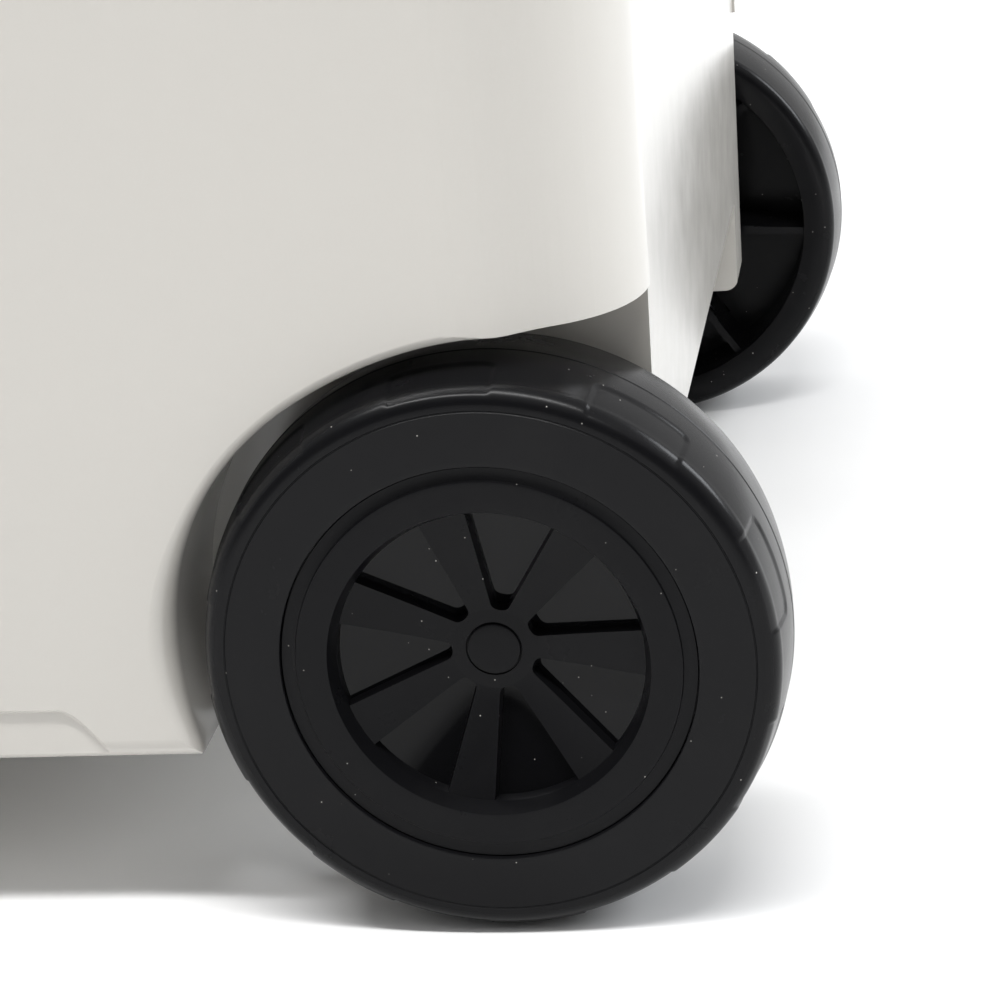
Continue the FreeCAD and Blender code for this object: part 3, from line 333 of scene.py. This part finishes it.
def metal(name, colour, rough=(0.22, 0.38), grain=(400, 400, 40)):
    """Turned or drawn steel with fine lines and slight tarnish."""
    s = Shader(name)
    stretch = s.add("ShaderNodeMapping")
    stretch.inputs["Scale"].default_value = grain
    s.link(s.place, stretch.inputs["Vector"])
    lines = s.add("ShaderNodeTexNoise")
    lines.inputs["Scale"].default_value = 8.0
    lines.inputs["Detail"].default_value = 4.0
    s.link(stretch.outputs["Vector"], lines.inputs["Vector"])
    stain = s.noise(120.0, 5.0, 0.65)
    tone = s.blend(stain, scaled(colour, 0.72), colour)
    s.surface.inputs["Metallic"].default_value = 1.0
    roughness = s.spread(stain, 0.3, 0.7, *rough)
    return s.finish(tone, roughness, s.bump(lines.outputs["Fac"], 0.2, 0.00006))


def rubber(name, colour):
    """Soft moulded rubber with a bloom that dulls it in patches."""
    s = Shader(name)
    bloom = s.noise(45.0, 6.0, 0.7)
    fine = s.noise(2200.0, 2.0)
    tone = s.blend(s.spread(bloom, 0.4, 0.75, 0.0, 1.0), colour, scaled(colour, 2.2))
    roughness = s.spread(bloom, 0.3, 0.7, 0.62, 0.82)
    return s.finish(tone, roughness, s.bump(fine, 0.35, 0.00015))


def foam(name, colour):
    """Cut polyurethane foam with small open cells."""
    s = Shader(name)
    cells = s.add("ShaderNodeTexVoronoi")
    cells.inputs["Scale"].default_value = 900.0
    s.link(s.place, cells.inputs["Vector"])
    tone = s.blend(s.noise(30.0, 5.0), scaled(colour, 0.8), colour)
    roughness = s.spread(cells.outputs["Distance"], 0.0, 0.6, 0.8, 0.95)
    return s.finish(tone, roughness, s.bump(cells.outputs["Distance"], 0.6, 0.0004))


WARM_WHITE = (0.56, 0.541, 0.505)
LINER_WHITE = (0.64, 0.64, 0.628)
BLACK = (0.0045, 0.0045, 0.0052)

FINISHES = {
    "shell_white": moulded("shell_white", WARM_WHITE, rough=(0.13, 0.17), grain=0.003, tint=0.015,
                           ripple=0.0),
    "liner_white": moulded("liner_white", LINER_WHITE, rough=(0.24, 0.30), grain=0.04, tint=0.01,
                           ripple=0.0),
    "foam_yellow": foam("foam_yellow", (0.78, 0.66, 0.36)),
    "seal_grey": rubber("seal_grey", (0.12, 0.12, 0.125)),
    "wheel_black": moulded("wheel_black", BLACK, rough=(0.22, 0.28), grain=0.10, tint=0.08,
                           dust=0.012, specks=0.8, gloss=0.14),
    "hub_black": moulded("hub_black", BLACK, rough=(0.26, 0.34), grain=0.15, tint=0.08,
                         dust=0.01, specks=0.8, gloss=0.11),
    "axle_steel": metal("axle_steel", (0.55, 0.55, 0.56)),
    "bush_nylon": moulded("bush_nylon", (0.05, 0.05, 0.055), rough=(0.4, 0.5)),
    "hinge_grey": moulded("hinge_grey", (0.10, 0.10, 0.105), rough=(0.4, 0.5), wear=0.2),
    "pin_steel": metal("pin_steel", (0.60, 0.60, 0.61)),
    "screw_steel": metal("screw_steel", (0.62, 0.62, 0.63), rough=(0.15, 0.3), grain=(300, 300, 300)),
    "latch_black": moulded("latch_black", BLACK, rough=(0.34, 0.44), wear=0.15, dust=0.03),
    "handle_black": moulded("handle_black", BLACK, rough=(0.36, 0.46), wear=0.15, dust=0.03),
    "grip_rubber": rubber("grip_rubber", (0.012, 0.012, 0.012)),
    "foot_black": moulded("foot_black", BLACK, rough=(0.42, 0.52), wear=0.15, dust=0.06),
    "drain_black": moulded("drain_black", BLACK, rough=(0.34, 0.44), wear=0.15, dust=0.03),
}
WINDOW_GLOSS = moulded("window_gloss", (0.003, 0.003, 0.0035), rough=(0.04, 0.07), grain=0.0,
                       tint=0.05, specks=0.8, gloss=0.17)


def finish_cad_nodes():
    """Every CAD node that stays gets its slot's finish."""
    for name, piece in frame["nodes"].items():
        for holder in piece.material_slots:
            holder.material = FINISHES[SLOT_OF[name]]


# ---------------------------------------------------------------- box

def flare(depth, rounding):
    """How far an opening widens at a depth behind the face that it breaks through."""
    if depth <= 0:
        return rounding
    if depth >= rounding:
        return 0.0
    return rounding - math.sqrt(rounding ** 2 - (rounding - depth) ** 2)


def arch_rounding(degrees):
    """The arch's edge is rounded most beside the wheel and least above it."""
    beside = math.exp(-((degrees - 178) / 20) ** 2)
    return (2.6 + 3.6 * beside) * MM


def arch_dip(degrees):
    """The arch comes a little nearer to the wheel, most of all near its top."""
    return 3 * MM * math.exp(-((degrees - 112) / 28) ** 2)


def well_outline():
    """The arch's points with their outward directions and edge roundings."""
    axle, radius = Place.axle, Place.arch_radius
    past_end = Place.shell_high.x + 10 * MM
    lowest = Place.shell_low.z - 30 * MM
    foot_round, flat_round = 3 * MM, 1 * MM
    points = []
    for degrees in range(208, 89, -1):
        angle = math.radians(degrees)
        rounding = arch_rounding(degrees)
        direction = (math.cos(angle), math.sin(angle))
        reach = radius - arch_dip(degrees)
        z = axle.z + reach * direction[1]
        back = flare(max(z - Place.shell_low.z, 0.0), foot_round)
        points.append((axle.x + reach * direction[0] - back, z, direction, rounding))
    run = past_end - axle.x
    for i in range(1, 25):
        share = i / 24
        rounding = flat_round + (arch_rounding(90) - flat_round) * (1 - smoothstep(0.0, 0.6, share))
        fall = 2 * MM * smoothstep(0.0, 1.0, share) + arch_dip(90) * (1 - smoothstep(0.0, 0.4, share))
        points.append((axle.x + run * share, axle.z + radius - fall, (0.0, 1.0), rounding))
    points.append((past_end, lowest, (0.0, 0.0), 0.0))
    points.append((points[0][0], lowest, (0.0, 0.0), 0.0))
    return points


def well_cutter(side):
    """The hollow round one wheel, with its rows closest together at the rounded edge of the arch."""
    half = Place.shell_high.y
    rounded_part = 7.5 * MM
    depths = [-8 * MM, -0.01 * MM]
    depths += [rounded_part * (1 - math.cos(math.radians(a))) for a in range(6, 91, 7)]
    depths.append(half - Place.well_wall)
    outline = well_outline()
    rings = [[(x + way[0] * flare(d, rounding), side * (half - d), z + way[1] * flare(d, rounding))
              for x, z, way, rounding in outline] for d in depths]
    return tidy_mesh(loft("well_cutter", rings), merge=1e-7)


def extruded(name, outline, low_y, high_y):
    """A solid with an (x, z) outline between two places along Y."""
    rings = [[(x, y, z) for x, z in outline] for y in (low_y, high_y)]
    return tidy_mesh(loft(name, rings))


def tunnel_cutter():
    """The hollow that the axle crosses, under the end wall."""
    end, low = Place.shell_high.x, Place.shell_low.z
    bush_overlap, length, slope = 7 * MM, 82 * MM, 28 * MM
    half = abs(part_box("axle_bush_near")[1].y) - bush_overlap
    left = end - length
    roof = Place.tunnel_roof
    outline = [(left - slope, low - 5 * MM), (end + 5 * MM, low - 5 * MM), (end + 5 * MM, roof)]
    outline += [(left + 6 * MM, roof), (left + 2 * MM, roof - 1 * MM), (left, roof - 4 * MM)]
    return extruded("tunnel_cutter", outline, -half, half)


def end_wedge():
    """The end wall leans inward between the wheels, which leaves a crease at each side."""
    end, top = Place.shell_high.x, Place.lean_top
    low = Place.shell_low.z - 5 * MM
    lean = 3 * MM
    half = Place.well_wall + 0.5 * MM
    outline = [(end, top), (end - lean, low), (end + 5 * MM, low), (end + 5 * MM, top)]
    return extruded("end_wedge", outline, -half, half)


def foot_cutter():
    """Raises the foot of the end wall and of the two walls that hold the axle."""
    end, low = Place.shell_high.x, Place.shell_low.z - 5 * MM
    half, roof, turn = Place.well_wall + 1 * MM, Place.lifted_foot, 4.5 * MM
    lean_here = 2.2 * MM
    face = end - lean_here
    corner = arc(face - turn, roof + turn, turn, -90, 0, 8)
    outline = [(end - 40 * MM, low), (end + 5 * MM, low), (end + 5 * MM, roof + turn)]
    outline += list(reversed(corner)) + [(end - 30 * MM, roof)]
    return extruded("foot_cutter", outline, -half, half)


def band_cutter(side):
    """A shallow set-back along the bottom of a long side, with S-shaped ends."""
    half, low = Place.shell_high.y, Place.shell_low.z
    first = Place.shell_low.x + 90 * MM
    last = Place.axle.x - 90 * MM
    height, slope, depth = 14.5 * MM, 18 * MM, 1.2 * MM
    rings = []
    for grow, out in ((-1.0 * MM, -depth), (0.0, 0.1 * MM), (0.0, 5 * MM)):
        rise = [(slope * (1 - i / 16), height * smoothstep(0, 1, i / 16)) for i in range(17)]
        right = [(last - slope + run + grow, low + up + grow) for run, up in rise]
        left = [(first + slope - run - grow, low + up + grow) for run, up in reversed(rise)]
        ring = [(first, low - 3 * MM), (last, low - 3 * MM)] + right + left
        rings.append([(x, side * (half + out), z) for x, z in ring])
    return tidy_mesh(loft("band_cutter", rings))


def prism(name, low, high, radius, inset, bottom, top):
    """An upright block with a rounded rectangle for its plan."""
    rings = [plan_ring(low, high, radius, inset, z) for z in (bottom, top)]
    return tidy_mesh(loft(name, rings))


def make_shell():
    """The outer moulding: rounded corners and base, wheel wells, tunnel and hollow inside."""
    low, high = Place.shell_low, Place.shell_high
    rings = []
    for i in range(13):
        angle = math.radians(90 * i / 12)
        inset = Place.base_round * (1 - math.sin(angle))
        z = low.z + Place.base_round * (1 - math.cos(angle))
        rings.append(plan_ring(low, high, Place.corner, inset, z))
    rings.append(plan_ring(low, high, Place.corner, 0.0, high.z - 1.2 * MM))
    rings.append(plan_ring(low, high, Place.corner, 0.35 * MM, high.z - 0.35 * MM))
    rings.append(plan_ring(low, high, Place.corner, 1.2 * MM, high.z))
    shell = tidy_mesh(loft("shell_body", rings))
    wall, foam_beside_well = Place.wall, 14 * MM
    split = Place.axle.x - Place.arch_radius - wall - foam_beside_well
    upper = prism("space_over_wells", low, high, Place.corner, wall,
                  Place.axle.z + Place.arch_radius + wall, high.z + 5 * MM)
    lower_high = Vector((split, high.y, high.z))
    lower = prism("space_beside_wells", low, lower_high, Place.corner, wall, low.z + wall,
                  Place.axle.z + Place.arch_radius + wall + 1 * MM)
    drain = Vector(JOINTS["drain_turn"]["pos_m"])
    drain_radius, bush_radius = 11 * MM, 8 * MM
    hole = bar_cutter(drain, drain_radius, high.y - 30 * MM, high.y + 5 * MM)
    bushes = []
    for side in (NEAR, FAR):
        ends = sorted((side * (Place.well_wall + 1 * MM), side * (Place.well_wall - 28 * MM)))
        bushes.append(bar_cutter(Place.axle, bush_radius, *ends))
    carve(shell, [tunnel_cutter(), end_wedge(), well_cutter(NEAR), well_cutter(FAR), foot_cutter(),
                  band_cutter(NEAR), band_cutter(FAR), upper, lower, hole] + bushes)
    weight_normals(shell)
    show(shell, "root", "shell_white", "outer_shell")


def bar_cutter(centre, radius, low_y, high_y):
    """A round bar along Y."""
    return extruded("bar_cutter", circle(centre.x, centre.z, radius, 48), low_y, high_y)


# ---------------------------------------------------------------- lid

CUP_RADIUS, CUP_DEPTH, CUP_REACH = 38 * MM, 17 * MM, 165 * MM


def cup_cutter(centre_x, top):
    """A round rest with a soft lip and a rounded floor."""
    lip, foot = 2.5 * MM, 4 * MM
    profile = [(CUP_RADIUS + lip, top + 4 * MM)]
    profile += arc(CUP_RADIUS + lip, top - lip, lip, 90, 180, 6)
    profile += arc(CUP_RADIUS - foot, top - CUP_DEPTH + foot, foot, 0, -90, 6)
    rings = []
    for r, z in profile:
        rings.append([(x, y, z) for x, y in circle(centre_x, 0.0, r, 96)])
    return tidy_mesh(loft("cup_cutter", rings))


def make_lid():
    """The lid's outer moulding: soft top edge, sunk panel and two cup rests."""
    low, high = Place.lid_low, Place.lid_high
    corner, top_round = 46 * MM, 12 * MM
    rings = [plan_ring(low, high, corner, 1 * MM, low.z), plan_ring(low, high, corner, 0, low.z + 1 * MM)]
    for i in range(15):
        angle = math.radians(90 * i / 14)
        inset = top_round * (1 - math.cos(angle))
        rings.append(plan_ring(low, high, corner, inset, high.z - top_round * (1 - math.sin(angle))))
    lid = tidy_mesh(loft("lid_body", rings))
    margin, sunk = 34 * MM, 2 * MM
    panel_low = Vector((low.x + margin, low.y + margin, 0))
    panel_high = Vector((high.x - margin, high.y - margin, 0))
    panel = [plan_ring(panel_low, panel_high, 14 * MM, inset, z)
             for inset, z in ((2 * MM, high.z - sunk), (0.6 * MM, high.z - sunk + 0.5 * MM),
                              (0.0, high.z - 0.5 * MM), (-1.0 * MM, high.z), (-1.0 * MM, high.z + 3 * MM))]
    middle = (low.x + high.x) / 2
    floor = high.z - sunk
    places = [middle + way * CUP_REACH for way in (-1, 1)]
    cups = [cup_cutter(x, floor) for x in places]
    space = prism("lid_space", low, high, corner, Place.wall, low.z - 1 * MM, floor - Place.wall)
    carve(space, [boss_solid(x, floor) for x in places])
    carve(lid, [tidy_mesh(loft("panel_cutter", panel))] + cups + [space])
    weight_normals(lid)
    show(lid, "lid", "shell_white", "lid_outer")


def boss_solid(centre_x, top):
    """The wall round a cup rest, kept clear of the lid's inner space."""
    radius, depth = CUP_RADIUS + Place.wall, CUP_DEPTH + Place.wall
    rings = []
    for z in (top - depth, top + 1 * MM):
        rings.append([(x, y, z) for x, y in circle(centre_x, 0.0, radius, 96)])
    return tidy_mesh(loft("cup_boss", rings))


# ---------------------------------------------------------------- wheels

WHEEL_COLUMNS = 720
RIBS = 7
SPOKES = 7
PADS = 9
PAD_HALF = 10.5
PAD_WIDTH = 15 * MM
PAD_DEPTH = 0.38 * MM
RIM = 57.5 * MM
BOSS = 15 * MM
HUB_RADIUS, HUB_POCKET = 47.2 * MM, 47.6 * MM
DISH_DEPTH, DISH_EDGE, DISH_TOP, DISH_FLOOR = 11.3 * MM, 5 * MM, 38 * MM, 36.5 * MM
WINDOW_START, TIP_ROUND = 10 * MM, 2.2 * MM
NEAREST_TIP = WINDOW_START + TIP_ROUND * (1 - math.cos(math.radians(10)))
RECESS_EDGE, RECESS_DEPTH = 49.3 * MM, 1.1 * MM
HUB_BACK = 17.3 * MM
WEB_BACK = HUB_BACK + 4.4 * MM
TREAD_START, TREAD_FULL = 66.0 * MM, 67.6 * MM
WINDOW_DEPTH = 3.5 * MM
BORE = 5.06 * MM


def face_centre(side):
    """The middle of a wheel's outer face."""
    return Vector((Place.axle.x, side * Place.wheel_face, Place.axle.z))


def wheel_profile():
    """The wheel's section as (depth, radius), once round."""
    radius, width = Place.wheel_radius, Place.wheel_width
    shoulder, inner_round = 5 * MM, 4 * MM
    web, boss_end = HUB_BACK + 0.4 * MM, width + Place.boss_proud
    seam, seam_height, crown_fall = width / 2 + 1 * MM, 0.14 * MM, 1.6 * MM

    def crown(depth):
        share = (depth - width / 2) / (width / 2 - shoulder)
        ridge = seam_height * max(0.0, 1 - abs(depth - seam) / (0.3 * MM))
        return radius - crown_fall * share ** 2 + ridge

    edge = crown(shoulder)
    line = 62.6 * MM
    seat = RECESS_DEPTH + 1 * MM
    profile = [(web, BORE), (web, 20 * MM), (web, 40 * MM), (web, HUB_POCKET - 0.5 * MM),
               (web - 0.5 * MM, HUB_POCKET), (4 * MM, HUB_POCKET), (seat, HUB_POCKET),
               (seat, RECESS_EDGE - 0.1 * MM), (seat - 0.1 * MM, RECESS_EDGE),
               (0.3 * MM, RECESS_EDGE), (0.08 * MM, RECESS_EDGE + 0.12 * MM),
               (0, RECESS_EDGE + 0.35 * MM)]
    profile += [(0, r) for r in spread(51 * MM, line - 0.5 * MM, 2.5 * MM)]
    profile += [(0, line - 0.28 * MM), (0.2 * MM, line - 0.06 * MM), (0.2 * MM, line + 0.06 * MM),
                (0, line + 0.28 * MM)]
    turn = arc(shoulder, edge - shoulder, shoulder, 180, 90, 12)
    profile += turn[1:-1]
    rows = spread(shoulder, seam - 0.6 * MM, 0.7 * MM)
    rows += [seam - 0.6 * MM, seam - 0.3 * MM, seam, seam + 0.3 * MM, seam + 0.6 * MM]
    rows += spread(seam + 1.2 * MM, width - inner_round, 0.7 * MM)
    profile += [(d, crown(d)) for d in rows]
    back = crown(width - inner_round)
    profile += arc(width - inner_round, back - inner_round, inner_round, 90, 0, 8)
    profile += [(width, RIM + 0.8 * MM), (width - 0.3 * MM, RIM + 0.2 * MM), (width - 0.9 * MM, RIM)]
    profile += [(d, RIM) for d in (width - 4.0 * MM, width - 4.6 * MM, WEB_BACK + 6 * MM)]
    profile += [(WEB_BACK, RIM - 0.4 * MM)]
    profile += [(WEB_BACK, r) for r in spread(RIM - 1.5 * MM, BOSS + 1 * MM, 4 * MM)]
    profile += [(WEB_BACK, BOSS + 0.6 * MM), (WEB_BACK + 0.6 * MM, BOSS)]
    profile += [(width - 4.6 * MM, BOSS), (width - 4.0 * MM, BOSS), (boss_end - 0.5 * MM, BOSS),
                (boss_end, BOSS - 0.5 * MM), (boss_end, BORE)]
    return profile


def wheel_shape(turn):
    """Sinks the pads into the tread and raises the ribs at the back."""
    radius = Place.wheel_radius
    rib_top = Place.wheel_width - 4.3 * MM
    rib_reach = 1.5 * MM

    def away(degrees, count):
        spacing = 360 / count
        return abs((degrees - turn + spacing / 2) % spacing - spacing / 2)

    def shape(depth, r, angle):
        degrees = math.degrees(angle)
        if r > RIM + 5 * MM:
            sink = pad_sink(away(degrees, PADS), PAD_WIDTH - depth, radius)
            return depth, r - PAD_DEPTH * sink * smoothstep(TREAD_START, TREAD_FULL, r), angle
        if BOSS - 0.1 * MM < r < RIM + 0.05 * MM and WEB_BACK - 0.1 * MM <= depth < rib_top:
            if math.radians(away(degrees, RIBS)) * r < rib_reach:
                return rib_top, r, angle
        return depth, r, angle
    return shape


def pad_sink(away_degrees, inside, radius):
    """1 within a pad and 0 outside, with rounded corners and a short slope."""
    across = math.radians(PAD_HALF - away_degrees) * radius
    corner = 3 * MM
    if across < corner and inside < corner:
        reach = corner - math.hypot(corner - across, corner - inside)
    else:
        reach = min(across, inside)
    return smoothstep(-0.1 * MM, 0.5 * MM, reach)


def make_wheel(word, side, turn):
    """One moulded wheel with its tread pads, face line, hub pocket and ribbed back."""
    wheel = lathe("tyre_" + word, wheel_profile(), face_centre(side), side, WHEEL_COLUMNS,
                  wheel_shape(turn))
    show(wheel, "wheel_" + word, "wheel_black", "wheel_" + word)


def window_half_angle(radius):
    """Half the angle that a spoke window takes up at one radius."""
    slant = math.radians(20.5)
    centre = WINDOW_START + TIP_ROUND
    tangent = centre - TIP_ROUND * math.sin(slant)
    reach = max(radius, NEAREST_TIP)
    if reach < tangent:
        half = math.sqrt(TIP_ROUND ** 2 - (centre - reach) ** 2)
    else:
        half = TIP_ROUND * math.cos(slant) + (reach - tangent) * math.tan(slant) * 0.93
    return math.atan2(half, reach)


def hub_columns(radius, first_spoke):
    """Angles round the hub with close pairs on every window edge, and what lies there."""
    sector = 2 * math.pi / SPOKES
    wide = window_half_angle(radius)
    gap = min(0.22 * MM / radius, wide * 0.45)
    columns = []
    for i in range(SPOKES):
        middle = math.radians(first_spoke) + (i + 0.5) * sector
        for j in range(15):
            columns.append((middle + (wide - gap) * (j / 7 - 1), 1.0))
        rest = sector - 2 * (wide + gap)
        for j in range(9):
            columns.append((middle + wide + gap + rest * j / 8, 0.0))
    return columns


def cone_depth(radius):
    """How deep the spokes lie at one radius; they rise from the centre to the rim."""
    share = (radius - WINDOW_START) / (DISH_FLOOR - WINDOW_START)
    return DISH_DEPTH - (DISH_DEPTH - DISH_EDGE) * min(max(share, 0.0), 1.0) ** 1.12


def hub_rows():
    """The hub disc from its back over the ring to the centre: (depth, radius, sinks)."""
    rows = [(HUB_BACK, 9 * MM, 0), (HUB_BACK, HUB_RADIUS - 0.4 * MM, 0),
            (HUB_BACK - 0.4 * MM, HUB_RADIUS, 0), (RECESS_DEPTH + 0.9 * MM, HUB_RADIUS, 0)]
    flange, step = RECESS_EDGE - 0.22 * MM, 45.7 * MM
    rows += [(RECESS_DEPTH + 0.9 * MM, flange, 0), (RECESS_DEPTH + 0.15 * MM, flange, 0),
             (RECESS_DEPTH, flange - 0.15 * MM, 0), (RECESS_DEPTH, step + 0.25 * MM, 0),
             (RECESS_DEPTH - 0.1 * MM, step + 0.08 * MM, 0), (0.6 * MM, step - 0.05 * MM, 0),
             (0.45 * MM, step - 0.15 * MM, 0), (0.4 * MM, step - 0.4 * MM, 0)]
    rows += [(0.4 * MM, r, 0) for r in (44 * MM, 41 * MM, DISH_TOP + 0.6 * MM)]
    rows += [(0.5 * MM, DISH_TOP + 0.15 * MM, 0), (0.9 * MM, DISH_TOP - 0.05 * MM, 0)]
    rows += [(DISH_EDGE - 0.3 * MM, DISH_FLOOR + 0.1 * MM, 0), (DISH_EDGE, DISH_FLOOR, 0)]
    radii = [DISH_FLOOR - 0.05 * MM, DISH_FLOOR - 0.35 * MM] + spread(35 * MM, 13 * MM, 1.1 * MM)
    radii += spread(13 * MM, WINDOW_START + TIP_ROUND, 0.4 * MM)
    radii += [WINDOW_START + TIP_ROUND * (1 - math.cos(math.radians(a))) for a in range(80, 9, -10)]
    radii += [WINDOW_START, WINDOW_START - 0.2 * MM]
    rows += [(cone_depth(r), r, 1) for r in radii]
    rows += [(DISH_DEPTH, 9.2 * MM, 0), (DISH_DEPTH, 7.2 * MM, 0), (DISH_DEPTH, 6.75 * MM, 0),
             (DISH_DEPTH + 0.5 * MM, 6.6 * MM, 0), (DISH_DEPTH + 0.6 * MM, 6.0 * MM, 0)]
    return rows


def make_hub(word, side, first_spoke):
    """The dished hub disc: seven spokes and the deeper gloss windows between them."""
    centre = face_centre(side)
    rings = []
    for depth, radius, sinks in hub_rows():
        ring = []
        for angle, inside in hub_columns(radius, first_spoke):
            open_here = inside and sinks and radius > WINDOW_START
            d = depth + (WINDOW_DEPTH if open_here else 0.0)
            ring.append((centre.x + radius * math.cos(angle), centre.y - side * d,
                         centre.z + radius * math.sin(angle)))
        rings.append(ring)
    hub = tidy_mesh(loft("hub_disc_" + word, rings), sharp_degrees=40)
    show(hub, "wheel_" + word, "hub_black", "wheel_hub_" + word)
    hub.data.materials.append(WINDOW_GLOSS)
    for face in hub.data.polygons:
        reach = math.hypot(face.center.x - centre.x, face.center.z - centre.z)
        depth = Place.wheel_face - abs(face.center.y)
        sunk = cone_depth(reach) + WINDOW_DEPTH - 0.3 * MM < depth < HUB_BACK - 0.1 * MM
        if sunk and WINDOW_START < reach < DISH_FLOOR and face.normal.y * side > 0.8:
            face.material_index = 1


def make_cap(word, side):
    """The plain round cap over the axle's end, standing just proud of the spokes."""
    centre = face_centre(side)
    top, foot, rim = DISH_DEPTH - 0.35 * MM, DISH_DEPTH + 0.9 * MM, 6.35 * MM
    profile = [(foot, rim), (top + 0.5 * MM, rim), (top + 0.12 * MM, 6.2 * MM),
               (top, 5.8 * MM), (top, 4 * MM), (top, 2 * MM), (top, 0.3 * MM)]
    rings = []
    for depth, radius in profile:
        ring = circle(centre.x, centre.z, radius, 96)
        rings.append([(x, centre.y - side * depth, z) for x, z in ring])
    cap = tidy_mesh(loft("axle_cap_" + word, rings))
    show(cap, "wheel_" + word, "hub_black", "hub_cap_" + word)


# ---------------------------------------------------------------- handle grip

def make_grip():
    """The tow handle's rubber sleeve, with rings pressed into it."""
    low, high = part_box("tow_grip")
    centre = (low + high) / 2
    radius = (high.x - low.x) / 2
    length = high.y - low.y
    rings = []
    ridges = 14
    steps = 168
    for i in range(steps + 1):
        share = i / steps
        end = min(share, 1 - share) * length
        swell = radius - 1.0 * MM + 0.9 * MM * math.sin(math.pi * share)
        wave = 0.5 + 0.5 * math.cos(2 * math.pi * ridges * share)
        groove = 1.3 * MM * smoothstep(0.62, 0.95, wave) * smoothstep(6 * MM, 10 * MM, end)
        round_off = 2 * MM * (1 - smoothstep(0, 3 * MM, end))
        r = swell - groove - round_off
        ring = circle(centre.x, centre.z, r, 64)
        rings.append([(x, low.y + length * share, z) for x, z in ring])
    grip = tidy_mesh(loft("tow_sleeve", rings))
    show(grip, "tow", "grip_rubber", "tow_grip")


# ---------------------------------------------------------------- stage, lights and camera

def stage_material(name, colour):
    """A plain, slightly uneven surface for the floor."""
    s = Shader(name)
    tone = s.blend(s.noise(2.0, 3.0), scaled(colour, 0.99), colour)
    return s.finish(tone, s.spread(s.noise(40.0, 3.0), 0.3, 0.7, 0.55, 0.65))


def make_stage():
    """A wide, flat, pale floor."""
    reach = 30.0
    floor = add_mesh("studio_floor", [(-reach, -reach, 0), (reach, -reach, 0), (reach, reach, 0),
                                      (-reach, reach, 0)], [(0, 1, 2, 3)])
    floor.data.materials.append(stage_material("studio_pale", (0.93, 0.93, 0.93)))


def add_area_light(name, place, aim, size, power, colour=(1, 1, 1)):
    """A soft rectangular light at a place, aimed at another; power is in watts."""
    data = bpy.data.lights.new(name, "AREA")
    data.shape = "RECTANGLE"
    data.size, data.size_y = size
    data.energy = power
    data.color = colour
    lamp = bpy.data.objects.new(name, data)
    lamp.location = place
    lamp.rotation_euler = (Vector(aim) - Vector(place)).to_track_quat("-Z", "Y").to_euler()
    bpy.context.scene.collection.objects.link(lamp)


def make_lights():
    """A long soft strip overhead and a slightly cooler panel to the right."""
    add_area_light("soft_top", (0.0, -0.8, 2.1), (0.1, 0, 0.1), (2.2, 0.16), 50)
    add_area_light("soft_right", (2.2, 0.9, 1.3), (0.2, 0, 0.2), (0.8, 1.0), 30, (0.93, 0.965, 1.0))


def make_surround():
    """An even white surround, dimmed on the near side from the floor to about 40 degrees up."""
    world = bpy.data.worlds.new("studio_surround")
    bpy.context.scene.world = world
    world.use_nodes = True
    tree = world.node_tree
    sky = tree.nodes["Background"]
    way = tree.nodes.new("ShaderNodeTexCoord")
    split = tree.nodes.new("ShaderNodeSeparateXYZ")
    front = tree.nodes.new("ShaderNodeMapRange")
    height = tree.nodes.new("ShaderNodeMapRange")
    dim = tree.nodes.new("ShaderNodeMath")
    strength = tree.nodes.new("ShaderNodeMapRange")
    dim.operation = "MULTIPLY"
    tree.links.new(way.outputs["Generated"], split.inputs[0])
    tree.links.new(split.outputs["Y"], front.inputs["Value"])
    tree.links.new(split.outputs["Z"], height.inputs["Value"])
    tree.links.new(front.outputs["Result"], dim.inputs[0])
    tree.links.new(height.outputs["Result"], dim.inputs[1])
    tree.links.new(dim.outputs[0], strength.inputs["Value"])
    tree.links.new(strength.outputs["Result"], sky.inputs["Strength"])
    for node, low, high, to_low, to_high in ((front, -0.15, -0.6, 0, 1), (height, 0.75, 0.45, 0, 1),
                                             (strength, 0, 1, 0.8, 0.08)):
        node.inputs["From Min"].default_value = low
        node.inputs["From Max"].default_value = high
        node.inputs["To Min"].default_value = to_low
        node.inputs["To Max"].default_value = to_high
    sky.inputs["Color"].default_value = (1.0, 1.0, 1.0, 1.0)


def make_camera():
    """In front of the near wheel and above it, looking down across the cooler, slightly rolled."""
    from_wheel = Vector((0.1134, -0.6552, 0.2758))
    azimuth, elevation, roll = (math.radians(a) for a in (9.275, 19.458, -5.052))
    forward = Vector((-math.sin(azimuth) * math.cos(elevation),
                      math.cos(azimuth) * math.cos(elevation), -math.sin(elevation)))
    level = forward.cross(Vector((0, 0, 1))).normalized()
    upright = level.cross(forward)
    right = level * math.cos(roll) + upright * math.sin(roll)
    up = right.cross(forward)
    turn = Matrix((right, up, -forward)).transposed()
    data = bpy.data.cameras.new("camera")
    data.lens = 111.2
    data.sensor_width = 36.0
    data.clip_start = 0.01
    camera = bpy.data.objects.new("camera", data)
    camera.matrix_world = Matrix.Translation(face_centre(NEAR) + from_wheel) @ turn.to_4x4()
    bpy.context.scene.collection.objects.link(camera)
    bpy.context.scene.camera = camera


# ---------------------------------------------------------------- the scene

bpy.context.scene.view_settings.view_transform = "Standard"
make_camera()
make_stage()
make_lights()
make_surround()
finish_cad_nodes()
make_shell()
make_lid()
for word, side, turn, first_spoke in (("near", NEAR, 95.5, -102), ("far", FAR, 97.9, -80)):
    make_wheel(word, side, turn)
    make_hub(word, side, first_spoke)
    make_cap(word, side)
make_grip()
